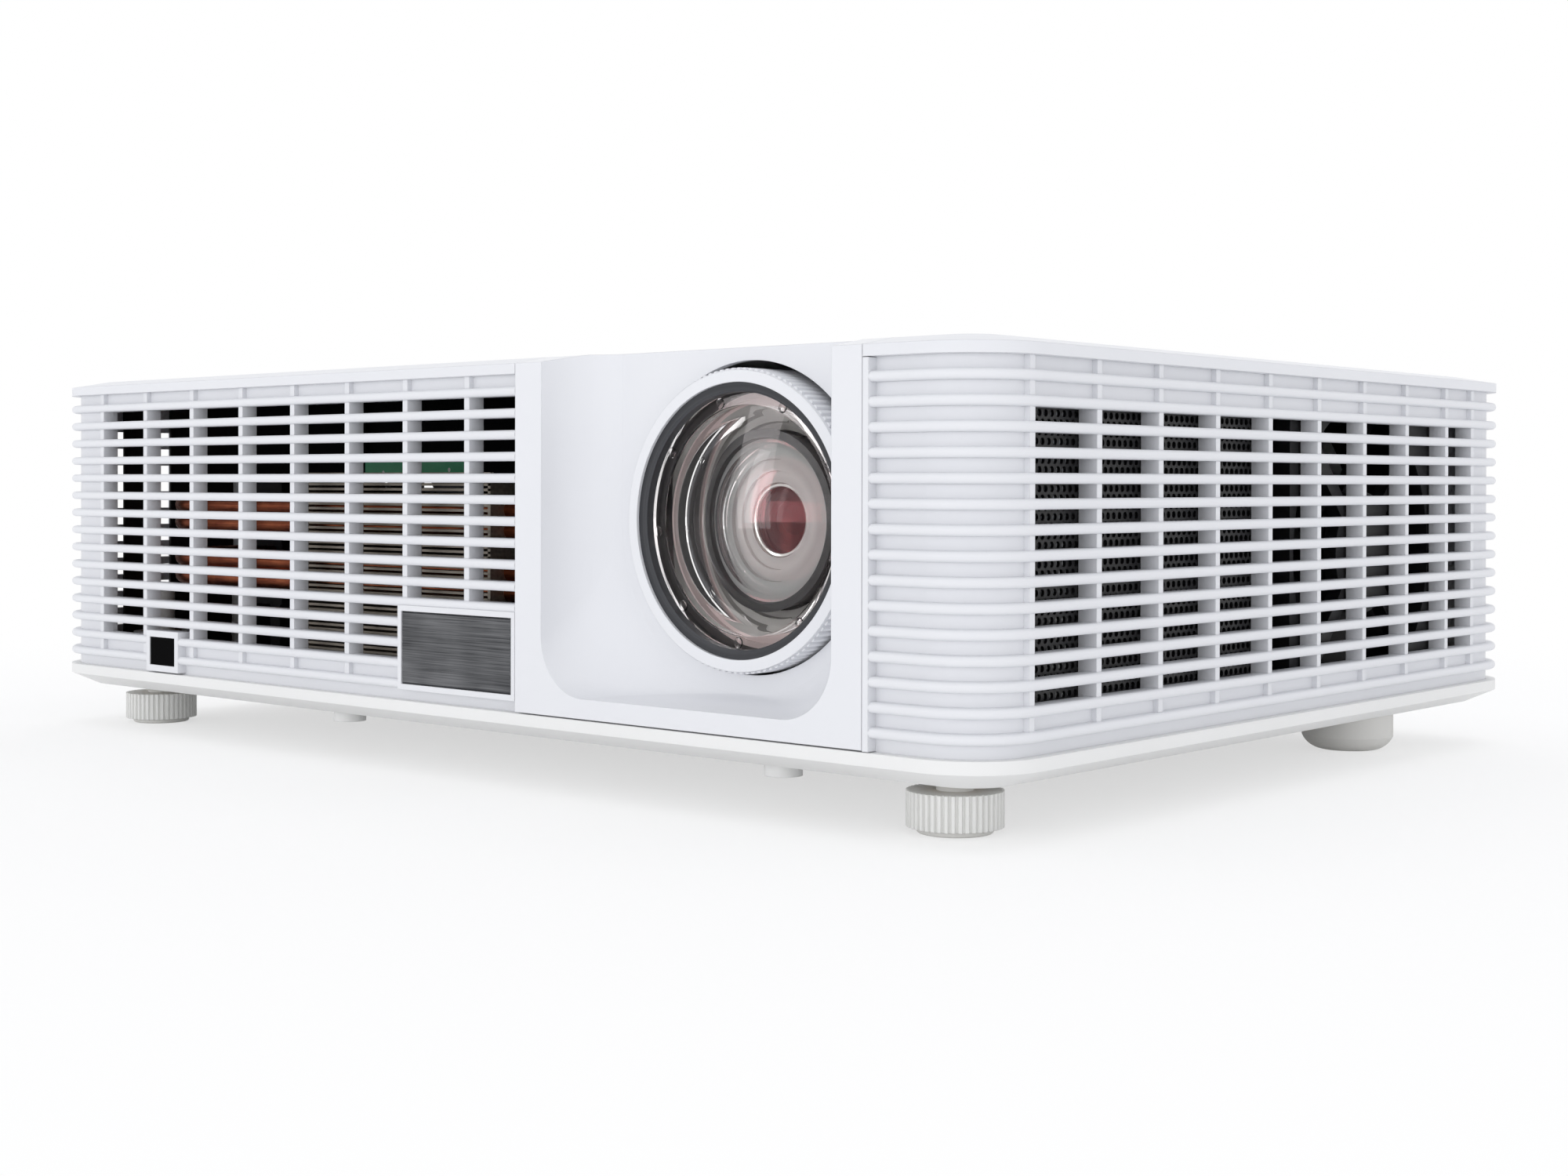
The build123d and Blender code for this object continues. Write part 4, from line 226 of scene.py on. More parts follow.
@dataclass(frozen=True)
class MouldedPlastic(Finish):
    """Moulded plastic with the fine grain of its tool and edges as soft as the moulding leaves them."""

    colour: str
    shade: str
    roughness: float
    grain: float = 0.5
    grain_depth: float = 0.006
    mottle: float = 45.0
    edge: float = 0.0
    specular: float = 0.5
    swing: float = 0.06

    def dress(self, add: Adder, place: Socket) -> dict:
        """Faint mottling in the colour, grain in the bump and roughness, rounded edge light.

        Args:
            add: adds a node.
            place: coordinates of the surface.

        Returns:
            The shader's inputs.
        """
        mottle = add("ShaderNodeTexNoise", {"Vector": place, "Scale": per_mm(self.mottle), "Detail": 3.0})
        tint = add("ShaderNodeMix", {0: mottle, 6: linear(self.shade), 7: linear(self.colour)},
                   data_type="RGBA")
        grain = add("ShaderNodeTexNoise", {"Vector": place, "Scale": per_mm(self.grain), "Detail": 2.0})
        gloss = add("ShaderNodeMapRange", {"Value": grain, "To Min": self.roughness - self.swing,
                                           "To Max": self.roughness + self.swing})
        relief = {"Height": grain, "Strength": 0.5, "Distance": self.grain_depth * MM}
        if self.edge:
            relief["Normal"] = add("ShaderNodeBevel", {"Radius": self.edge * MM}, samples=4)
        bump = add("ShaderNodeBump", relief)
        return {"Base Color": tint, "Roughness": gloss, "Normal": bump, "Specular IOR Level": self.specular}


@dataclass(frozen=True)
class DrawnMetal(Finish):
    """Brushed, rolled or drawn metal: fine lines that run one way, and tarnish in soft patches; on the badge
    the dark colour and patches are painted dark reflection.
    """

    colour: str
    shade: str
    roughness: float
    lines: float
    stretch: Point
    line_depth: float = 0.01
    patches: float = 18.0
    metallic: float = 1.0
    anisotropic: float = 0.0
    swing: float = 0.08

    def dress(self, add: Adder, place: Socket) -> dict:
        """Long streaks in colour, roughness and bump over soft patches.

        Args:
            add: adds a node.
            place: coordinates of the surface.

        Returns:
            The shader's inputs.
        """
        drawn = add("ShaderNodeMapping", {"Vector": place, "Scale": self.stretch})
        streak = add("ShaderNodeTexNoise", {"Vector": drawn, "Scale": per_mm(self.lines), "Detail": 4.0})
        patch = add("ShaderNodeTexNoise", {"Vector": place, "Scale": per_mm(self.patches), "Detail": 3.0})
        both = add("ShaderNodeMath", {0: streak, 1: patch}, operation="ADD")
        share = add("ShaderNodeMapRange", {"Value": both, "From Min": 0.7, "From Max": 1.3})
        tint = add("ShaderNodeMix", {0: share, 6: linear(self.shade), 7: linear(self.colour)},
                   data_type="RGBA")
        gloss = add("ShaderNodeMapRange", {"Value": streak, "To Min": self.roughness - self.swing,
                                           "To Max": self.roughness + self.swing})
        bump = add("ShaderNodeBump", {"Height": streak, "Strength": 0.6, "Distance": self.line_depth * MM})
        return {"Base Color": tint, "Roughness": gloss, "Normal": bump, "Metallic": self.metallic,
                "Anisotropic": self.anisotropic}


@dataclass(frozen=True)
class TurnedRing(Finish):
    """Surface with the fine rings of a lathe or a turned mould, about the lens axis."""

    colour: str
    shade: str
    roughness: float
    metallic: float
    pitch: float
    depth: float
    rim_r: float = 1000.0
    rim: str = "#101011"

    def dress(self, add: Adder, place: Socket) -> dict:
        """Rings in the bump and the colour, and another colour outside the rim.

        Args:
            add: adds a node.
            place: coordinates of the surface.

        Returns:
            The shader's inputs.
        """
        centred, reach = from_axis(add, place, (LENS_X, 0.0, LENS_Z), (1.0, 0.0, 1.0))
        rings = add("ShaderNodeTexWave",
                    {"Vector": centred, "Scale": per_mm(self.pitch) / WAVES_PER_UNIT, "Distortion": 0.4,
                     "Detail": 2.0}, wave_type="RINGS", rings_direction="Y").outputs["Fac"]
        tint = add("ShaderNodeMix", {0: rings, 6: linear(self.shade), 7: linear(self.colour)},
                   data_type="RGBA")
        outside = add("ShaderNodeMath", {0: reach, 1: self.rim_r * MM}, operation="GREATER_THAN")
        tint = add("ShaderNodeMix", {0: outside, 6: tint, 7: linear(self.rim)}, data_type="RGBA")
        bump = add("ShaderNodeBump", {"Height": rings, "Strength": 0.4, "Distance": self.depth * MM})
        return {"Base Color": tint, "Normal": bump, "Roughness": self.roughness, "Metallic": self.metallic}


@dataclass(frozen=True)
class CoatedGlass(Finish):
    """Clear glass or moulded optical plastic; a coat against glare dims and tints what it reflects."""

    colour: str
    ior: float
    sheen: str = "#FFFFFF"
    roughness: float = 0.0
    haze: float = 0.004
    dust: float = 6.0

    def dress(self, add: Adder, place: Socket) -> dict:
        """Full transmission, and a trace of surface haze from dust and cleaning.

        Args:
            add: adds a node.
            place: coordinates of the surface.

        Returns:
            The shader's inputs.
        """
        dust = add("ShaderNodeTexNoise", {"Vector": place, "Scale": per_mm(self.dust), "Detail": 4.0})
        gloss = add("ShaderNodeMapRange",
                    {"Value": dust, "From Min": 0.45, "From Max": 0.75, "To Min": self.roughness,
                     "To Max": self.roughness + self.haze})
        return {"Base Color": linear(self.colour), "Roughness": gloss, "Transmission Weight": 1.0,
                "IOR": self.ior, "Specular Tint": linear(self.sheen)}


@dataclass(frozen=True)
class CircuitBoard(Finish):
    """Green solder mask over copper tracks, with dark packages wherever the solid rises off the board."""

    axis: Axis
    low: float
    high: float
    edge: float = -1000.0
    mask: str = "#0C6A45"
    track: str = "#178A5B"
    tin: str = "#B9BDB8"
    package: str = "#17181B"
    skin: float = 0.1
    strip: float = 0.6
    track_run: float = 90.0
    pad_pitch: float = 4.0
    pad_share: float = 0.17

    def dress(self, add: Adder, place: Socket) -> dict:
        """Tracks in two directions, pads of tin, and packages by distance from the board.

        Args:
            add: adds a node.
            place: coordinates of the surface.

        Returns:
            The shader's inputs.
        """
        split = add("ShaderNodeSeparateXYZ", {"Vector": place})
        off = add("ShaderNodeMath",
                  {0: split.outputs[self.axis.value], 1: (self.low + self.high) / 2 * MM},
                  operation="SUBTRACT")
        away = add("ShaderNodeMath", {0: off}, operation="ABSOLUTE")
        part = add("ShaderNodeMath",
                   {0: away, 1: ((self.high - self.low) / 2 + self.skin) * MM}, operation="GREATER_THAN")
        behind = add("ShaderNodeMath", {0: split.outputs["Y"], 1: (self.edge + self.strip) * MM},
                     operation="GREATER_THAN")
        part = add("ShaderNodeMath", {0: part, 1: behind}, operation="MULTIPLY")
        tracks = add("ShaderNodeTexBrick",
                     {"Vector": place, "Scale": per_mm(self.track_run), "Mortar Size": 0.03,
                      "Color1": linear(self.mask), "Color2": linear(self.mask),
                      "Mortar": linear(self.track)})
        pads = add("ShaderNodeTexVoronoi", {"Vector": place, "Scale": per_mm(self.pad_pitch)})
        pad = add("ShaderNodeMath", {0: pads, 1: self.pad_share}, operation="LESS_THAN")
        tinned = add("ShaderNodeMix", {0: pad, 6: tracks, 7: linear(self.tin)}, data_type="RGBA")
        body = add("ShaderNodeMix", {0: part, 6: tinned, 7: linear(self.package)}, data_type="RGBA")
        gloss = add("ShaderNodeMapRange", {"Value": part, "To Min": 0.28, "To Max": 0.55})
        return {"Base Color": body, "Roughness": gloss}


@dataclass(frozen=True)
class FilterWheel(Finish):
    """Dichroic glass segments round a metal hub: each passes one colour and mirrors the rest."""

    centre: Point
    hub: float
    colours: tuple[str, ...]
    metal: str = "#B4B6B8"

    def dress(self, add: Adder, place: Socket) -> dict:
        """Colour by angle about the shaft, bare metal at the hub.

        Args:
            add: adds a node.
            place: coordinates of the surface.

        Returns:
            The shader's inputs.
        """
        centred, reach = from_axis(add, place, self.centre, (0.0, 1.0, 1.0))
        split = add("ShaderNodeSeparateXYZ", {"Vector": centred})
        angle = add("ShaderNodeMath", {0: split.outputs["Z"], 1: split.outputs["Y"]}, operation="ARCTAN2")
        turn = add("ShaderNodeMapRange", {"Value": angle, "From Min": -math.pi, "From Max": math.pi})
        ramp = add("ShaderNodeValToRGB", {"Fac": turn})
        ramp.color_ramp.interpolation = "CONSTANT"
        while len(ramp.color_ramp.elements) < len(self.colours):
            ramp.color_ramp.elements.new(0.5)
        for k, colour in enumerate(self.colours):
            ramp.color_ramp.elements[k].position = k / len(self.colours)
            ramp.color_ramp.elements[k].color = linear(colour)
        glass = add("ShaderNodeMath", {0: reach, 1: self.hub * MM}, operation="GREATER_THAN")
        tint = add("ShaderNodeMix", {0: glass, 6: linear(self.metal), 7: ramp}, data_type="RGBA")
        return {"Base Color": tint, "Metallic": 0.85, "Roughness": 0.12}


@dataclass(frozen=True)
class PhosphorWheel(Finish):
    """Polished aluminium disc with a sintered yellow ring near its rim."""

    centre: Point
    inner: float
    outer: float
    powder: tuple[str, str] = ("#D8B53C", "#EBD36B")
    metal: str = "#C6C8CA"
    clump: float = 0.8

    def dress(self, add: Adder, place: Socket) -> dict:
        """Yellow, rough and not metallic inside the ring; bright metal elsewhere.

        Args:
            add: adds a node.
            place: coordinates of the surface.

        Returns:
            The shader's inputs.
        """
        reach = from_axis(add, place, self.centre, (1.0, 0.0, 1.0))[1]
        ring = add("ShaderNodeMath", {0: reach, 1: (self.inner + self.outer) / 2 * MM,
                                      2: (self.outer - self.inner) / 2 * MM}, operation="COMPARE")
        powder = add("ShaderNodeTexNoise", {"Vector": place, "Scale": per_mm(self.clump)})
        dull, pale = self.powder
        yellow = add("ShaderNodeMix", {0: powder, 6: linear(dull), 7: linear(pale)}, data_type="RGBA")
        tint = add("ShaderNodeMix", {0: ring, 6: linear(self.metal), 7: yellow}, data_type="RGBA")
        bare = add("ShaderNodeMapRange", {"Value": ring, "To Min": 1.0, "To Max": 0.0})
        gloss = add("ShaderNodeMapRange", {"Value": ring, "To Min": 0.18, "To Max": 0.8})
        return {"Base Color": tint, "Metallic": bare, "Roughness": gloss}


# Moulded ABS in a spark-eroded tool: cool white, satin, with a faint grain and soft slat edges.
SHELL_ABS = MouldedPlastic("moulded_abs_shell", "#E7E8EB", "#E2E3E7", 0.42, grain=0.45, edge=0.3)
# The same ABS from a polished tool: a touch cleaner and glossier round the lens.
BEZEL_ABS = MouldedPlastic("polished_abs_bezel", "#E8E9EC", "#E4E5E9", 0.32, grain=0.35, grain_depth=0.003,
                           edge=0.3)
# Base from another batch of ABS: slightly warmer and flatter.
BASE_ABS = MouldedPlastic("moulded_abs_base", "#EFEFEE", "#E9E9E8", 0.5, grain=0.5, edge=0.3)
# Glass-filled nylon: chalky white with a coarser skin.
KNOB_NYLON = MouldedPlastic("moulded_nylon_knob", "#EFEFED", "#E8E8E5", 0.52, grain=0.6, grain_depth=0.01,
                            edge=0.2)
# White silicone rubber: soft and dull, picks up a little dirt.
FOOT_RUBBER = MouldedPlastic("silicone_rubber_foot", "#EAE9E6", "#DFDEDA", 0.65, grain=0.8, edge=0.2)
# Infrared-pass acrylic: all but black, with a polished face.
IR_ACRYLIC = MouldedPlastic("infrared_acrylic_window", "#060607", "#030304", 0.12, grain=3.0,
                            grain_depth=0.001, specular=0.01)
# Black electrophoretic coat on punched steel: even, slightly orange-peeled.
SCREEN_COAT = MouldedPlastic("black_coated_steel_screen", "#17181A", "#101012", 0.42, grain=0.7)
# Satin polycarbonate of the keypad: light grey.
KEYPAD_PC = MouldedPlastic("satin_polycarbonate_keypad", "#CBCDD3", "#C3C5CC", 0.45, grain=0.4, edge=0.15)
# Screen-printed ink on the keys: dark grey and flat.
KEY_INK = MouldedPlastic("screen_printed_ink", "#4A4C52", "#43454B", 0.6, grain=0.5)
# Black ABS of fans, speaker and sockets: matt with a fine grain.
BLACK_ABS = MouldedPlastic("matt_black_abs", "#1A1A1C", "#131315", 0.5, grain=0.5)
# Black polyester powder on die-cast aluminium: pebbled and dull.
CAST_COAT = MouldedPlastic("powder_coated_casting", "#2A2B2E", "#1F2023", 0.55, grain=0.9, grain_depth=0.03)
# Brushed nickel plate: long level streaks with bright and dark lines. Its dark grey colour and the darker
# soft patches are painted dark reflection.
BADGE_NICKEL = DrawnMetal("brushed_nickel_painted_dark_reflection", "#7E7F82", "#36373A", 0.3, lines=0.35,
                          stretch=(0.015, 1.0, 1.0), line_depth=0.015, patches=30.0, anisotropic=0.6)
# Rolled aluminium fin stock: level roll lines; its brown-grey, darker than bare aluminium, is painted shade.
FIN_ALUMINIUM = DrawnMetal("rolled_aluminium_fin_painted_shade", "#B3ABA0", "#8E867B", 0.48, lines=0.9,
                           stretch=(0.05, 1.0, 1.0), metallic=0.7)
# Drawn copper tube, browned in patches by soldering heat.
PIPE_COPPER = DrawnMetal("drawn_copper_pipe", "#C4714C", "#8A4630", 0.3, lines=0.8, stretch=(0.1, 1.0, 1.0),
                         patches=9.0)
# Zinc-plated steel: bluish grey with a faint drawn line.
PLATED_STEEL = DrawnMetal("zinc_plated_steel", "#BFC1C4", "#A3A5A8", 0.3, lines=0.6, stretch=(1.0, 0.1, 1.0))
# Turned brass of the inserts: yellow with turning lines.
INSERT_BRASS = DrawnMetal("turned_brass", "#CFA95C", "#A98440", 0.32, lines=0.4, stretch=(0.1, 0.1, 1.0))
# Dark anodised aluminium ring, turned: charcoal with rings that catch the light.
RETAINER_ANODISED = TurnedRing("anodised_aluminium_ring", "#46474B", "#36373B", 0.4, 0.35, pitch=0.5,
                               depth=0.02)
# Grey moulded baffle: dull, with turned steps that stop stray light. Its pinkish rim under the flange is
# painted pink reflection of the front glass's coat.
BAFFLE_GREY = TurnedRing("matt_grey_baffle", "#B4B2AF", "#A09E9B", 0.62, 0.0, pitch=1.0, depth=0.03,
                         rim_r=29.6, rim="#DCC8C6")
# Satin aluminium cell of the sliding glasses: pale steps inside, near-black from the rim outwards.
CELL_SATIN = TurnedRing("satin_aluminium_cell", "#F3F2F0", "#E6E5E3", 0.42, 0.0, pitch=0.8, depth=0.02,
                        rim_r=21.6)
# Polished aluminium ring that holds the rear glass: a thin bright circle.
RING_BRIGHT = TurnedRing("polished_aluminium_ring", "#F0EFEC", "#E4E3E0", 0.2, 0.6, pitch=0.4, depth=0.01)
# Red-brown lacquer on the stop behind the rear glass: dark and dull.
STOP_LACQUER = TurnedRing("red_brown_lacquered_stop", "#2E1214", "#1E0C0D", 0.5, 0.0, pitch=0.9, depth=0.02)
# Matt black lacquer of the lens tube: kills reflections.
TUBE_BLACK = TurnedRing("black_lacquered_tube", "#1B1B1C", "#141415", 0.6, 0.0, pitch=0.8, depth=0.02)
# Dark brown-grey plate beside the exhaust fan, dull with a fine grain: painted shade, set where the inside
# of the left grille lies in shade.
PAINTED_SHADE_PLATE = MouldedPlastic("painted_shade_dark_plate", "#2E2A29", "#242120", 0.55, grain=0.5, specular=0.2)
# Black polyurethane foam of the air seals: open-celled and dull.
SEAL_FOAM = MouldedPlastic("polyurethane_foam_seal", "#101011", "#09090A", 0.9, grain=0.9, grain_depth=0.2,
                           specular=0.05)
# Moulded optical acrylic of the front meniscus: clear, coated against glare.
FRONT_ACRYLIC = CoatedGlass("coated_optical_acrylic", "#FFFEFE", 1.49, "#8A8284")
# Crown and flint glasses inside: the rear one is thick and looks dark red against its lacquered stop.
SECOND_CROWN = CoatedGlass("coated_crown_glass", "#FFFDFD", 1.62, "#B45A60")
REAR_FLINT = CoatedGlass("coated_flint_glass", "#B87470", 1.7, "#4A2C30")
# Bare glass of the light tunnel: clear with a green cast at its edges.
TUNNEL_GLASS = CoatedGlass("mirror_tunnel_glass", "#E8F0EE", 1.52)
# Clear polycarbonate light pipes: milky from the moulded prism faces.
PIPE_CLEAR = CoatedGlass("clear_polycarbonate_pipe", "#DCEBE4", 1.58, roughness=0.3, haze=0.1)
# Solder mask on fibreglass: satin green with paler tracks, tin pads and black packages.
MAIN_BOARD = CircuitBoard("solder_mask_main_board", Axis.Z, 88.0, 89.6, edge=-110.0)
PSU_BOARD = CircuitBoard("solder_mask_power_board", Axis.Z, 24.0, 25.6)
DRIVER_BOARD = CircuitBoard("solder_mask_driver_board", Axis.Z, 30.0, 31.6)
# Dichroic glass on a metal hub: coloured mirrors side by side.
COLOUR_WHEEL = FilterWheel("dichroic_filter_glass", (28.9, -20.2, 55.0), 9.5,
                           ("#C8413A", "#D9C24A", "#4FA85A", "#3E62C4", "#D8D8DC", "#C8413A"))
# Phosphor on aluminium: a dull yellow ring on a bright disc.
PHOSPHOR = PhosphorWheel("phosphor_on_aluminium", (-30.0, -20.2, 47.0), 19.0, 28.0)


def coat(finish: Finish, *nodes: str) -> None:
    """Gives carried-over nodes one finish.

    Args:
        finish: the finish.
        nodes: names of the nodes.
    """
    for node in nodes:
        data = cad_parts[node].data
        data.materials.clear()
        data.materials.append(finish.make())
        LOG.info("%s wears %s", node, finish.name)


def add_object(name: str, data: bpy.types.ID) -> bpy.types.Object:
    """Puts an object into the scene.

    Args:
        name: the object's name.
        data: its mesh, lamp or camera.

    Returns:
        The object.
    """
    made = bpy.data.objects.new(name, data)
    bpy.context.scene.collection.objects.link(made)
    return made


def set_down(name: str, mesh: Mesh, finish: Finish, body: str,
             stands_for: str = "", sharp: float = 35.0) -> None:
    """Turns a bmesh into a piece that rides on a body.

    Args:
        name: the piece's name.
        mesh: the shape, in metres in the frame; freed here.
        finish: its finish.
        body: the body that carries it.
        stands_for: the node that it replaces, if any.
        sharp: edges that turn by more degrees than this stay crisp.
    """
    data = bpy.data.meshes.new(name)
    mesh.to_mesh(data)
    mesh.free()
    for face in data.polygons:
        face.use_smooth = True
    data.set_sharp_from_angle(angle=math.radians(sharp))
    data.materials.append(finish.make())
    piece = add_object(name, data)
    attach(piece, body)
    if stands_for:
        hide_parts(stands_for)
    LOG.info("%s rides on %s", name, body)


@dataclass
class TurnedProfile:
    """Outline in radius and depth, drawn edge by edge and spun about the lens axis."""

    steps: int = 128
    arc_steps: int = 20
    mesh: Mesh = field(default_factory=bmesh.new)
    tip: Vert | None = None
    at: Pair = (0.0, 0.0)

    def line_to(self, radius: float, depth: float) -> "TurnedProfile":
        """Draws a straight edge, or sets the first point.

        Args:
            radius: distance from the axis.
            depth: place along Y.

        Returns:
            The profile itself.
        """
        vert = self.mesh.verts.new(((LENS_X + radius) * MM, depth * MM, LENS_Z * MM))
        if self.tip:
            self.mesh.edges.new((self.tip, vert))
        self.tip = vert
        self.at = (radius, depth)
        return self

    def arc_to(self, radius: float, depth: float) -> "TurnedProfile":
        """Draws an arc whose centre lies on the axis.

        Args:
            radius: distance of the end from the axis.
            depth: place of the end along Y.

        Returns:
            The profile itself.
        """
        r0, y0 = self.at
        middle = (radius ** 2 - r0 ** 2 + depth ** 2 - y0 ** 2) / (2 * (depth - y0))
        angle = math.atan2(depth - middle, radius) - math.atan2(y0 - middle, r0)
        made = bmesh.ops.spin(self.mesh, geom=[self.tip], cent=(LENS_X * MM, middle * MM, LENS_Z * MM),
                              axis=(0, 0, 1), angle=angle, steps=self.arc_steps)
        self.tip = verts_of(made["geom_last"])[0]
        self.at = (radius, depth)
        return self

    def turned(self) -> Mesh:
        """Spins the outline into a closed shape.

        Returns:
            The finished bmesh.
        """
        bmesh.ops.remove_doubles(self.mesh, verts=self.mesh.verts, dist=WELD_M)
        bmesh.ops.spin(self.mesh, geom=self.mesh.verts[:] + self.mesh.edges[:],
                       cent=(LENS_X * MM, 0, LENS_Z * MM), axis=(0, 1, 0), angle=math.tau,
                       steps=self.steps, use_merge=True)
        bmesh.ops.remove_doubles(self.mesh, verts=self.mesh.verts, dist=WELD_M)
        bmesh.ops.recalc_face_normals(self.mesh, faces=self.mesh.faces)
        return self.mesh


@dataclass
class Case:
    """White shells, grilles, feet and the plates let into them."""

    shells: tuple[str, ...] = ("top_cover", "front_grille", "right_grille", "left_grille", "rear_panel")
    knobs: tuple[str, ...] = ("right_foot_knob", "left_foot_knob")
    rubbers: tuple[str, ...] = ("right_foot_pad", "left_foot_pad", "rear_feet")

    def dress(self) -> None:
        """Gives the case's nodes their finishes."""
        coat(SHELL_ABS, *self.shells)
        coat(BEZEL_ABS, "lens_bezel", "focus_ring")
        coat(BASE_ABS, "base_tray")
        coat(KNOB_NYLON, *self.knobs)
        coat(FOOT_RUBBER, *self.rubbers)
        # The badge's dark grey is painted dark reflection.
        coat(BADGE_NICKEL, "badge_plate")
        coat(IR_ACRYLIC, "ir_window")


@dataclass
class IntakeScreen:
    """Punched steel screen behind the front columns of the right wall."""

    pitch: float = 2.6
    hole: float = 0.92
    sides: int = 12
    weld: float = 0.065

    def cell(self, mesh: Mesh, centre: Vector) -> list:
        """Makes one six-sided cell with its round hole.

        Args:
            mesh: bmesh that takes the cell.
            centre: the cell's middle on the sheet's outer face, in metres.

        Returns:
            The cell's geometry.
        """
        turn = Matrix.Translation(centre) @ Matrix.Rotation(math.pi / 2, 4, "Y")
        ring = bmesh.ops.create_circle(mesh, segments=self.sides, radius=self.hole * MM, matrix=turn)["verts"]
        edges = list({edge for vert in ring for edge in vert.link_edges})
        outer = bmesh.ops.extrude_edge_only(mesh, edges=edges)["geom"]
        for vert in verts_of(outer):
            away = vert.co - centre
            corner = round(math.atan2(away.z, away.y) / (math.pi / 6)) % 2
            reach = self.pitch / 2 / (math.cos(math.pi / 6) if corner else 1.0)
            vert.co = centre + away.normalized() * reach * MM
        return mesh.verts[:] + mesh.edges[:] + mesh.faces[:]

    def build(self) -> None:
        """Tiles the cells over the sheet, trims them to it and gives them its thickness."""
        low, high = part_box("intake_mesh")
        mesh = bmesh.new()
        step = self.pitch * MM
        rise = step * math.sqrt(3) / 2
        first = self.cell(mesh, Vector((high.x, low.y, low.z)))
        second = bmesh.ops.duplicate(mesh, geom=first)["geom"]
        bmesh.ops.translate(mesh, vec=(0, step / 2, rise), verts=verts_of(second))
        for vec, span in (((0, step, 0), high.y - low.y), ((0, 0, 2 * rise), high.z - low.z)):
            unit = mesh.verts[:] + mesh.edges[:] + mesh.faces[:]
            for k in range(1, int(span / max(vec)) + 2):
                copy = bmesh.ops.duplicate(mesh, geom=unit)["geom"]
                bmesh.ops.translate(mesh, vec=Vector(vec) * k, verts=verts_of(copy))
        bmesh.ops.remove_doubles(mesh, verts=mesh.verts, dist=self.weld * MM)
        for point, normal in ((low, (0, -1, 0)), (low, (0, 0, -1)), (high, (0, 1, 0)), (high, (0, 0, 1))):
            bmesh.ops.bisect_plane(mesh, geom=mesh.verts[:] + mesh.edges[:] + mesh.faces[:], dist=NEAR_M,
                                   plane_co=point, plane_no=normal, clear_outer=True)
        bmesh.ops.recalc_face_normals(mesh, faces=mesh.faces)
        bmesh.ops.solidify(mesh, geom=mesh.faces[:], thickness=high.x - low.x)
        inward = min(v.co.x for v in mesh.verts) - low.x
        bmesh.ops.translate(mesh, vec=(-inward, 0, 0), verts=mesh.verts)
        set_down("intake_screen", mesh, SCREEN_COAT, "root", "intake_mesh", sharp=30.0)


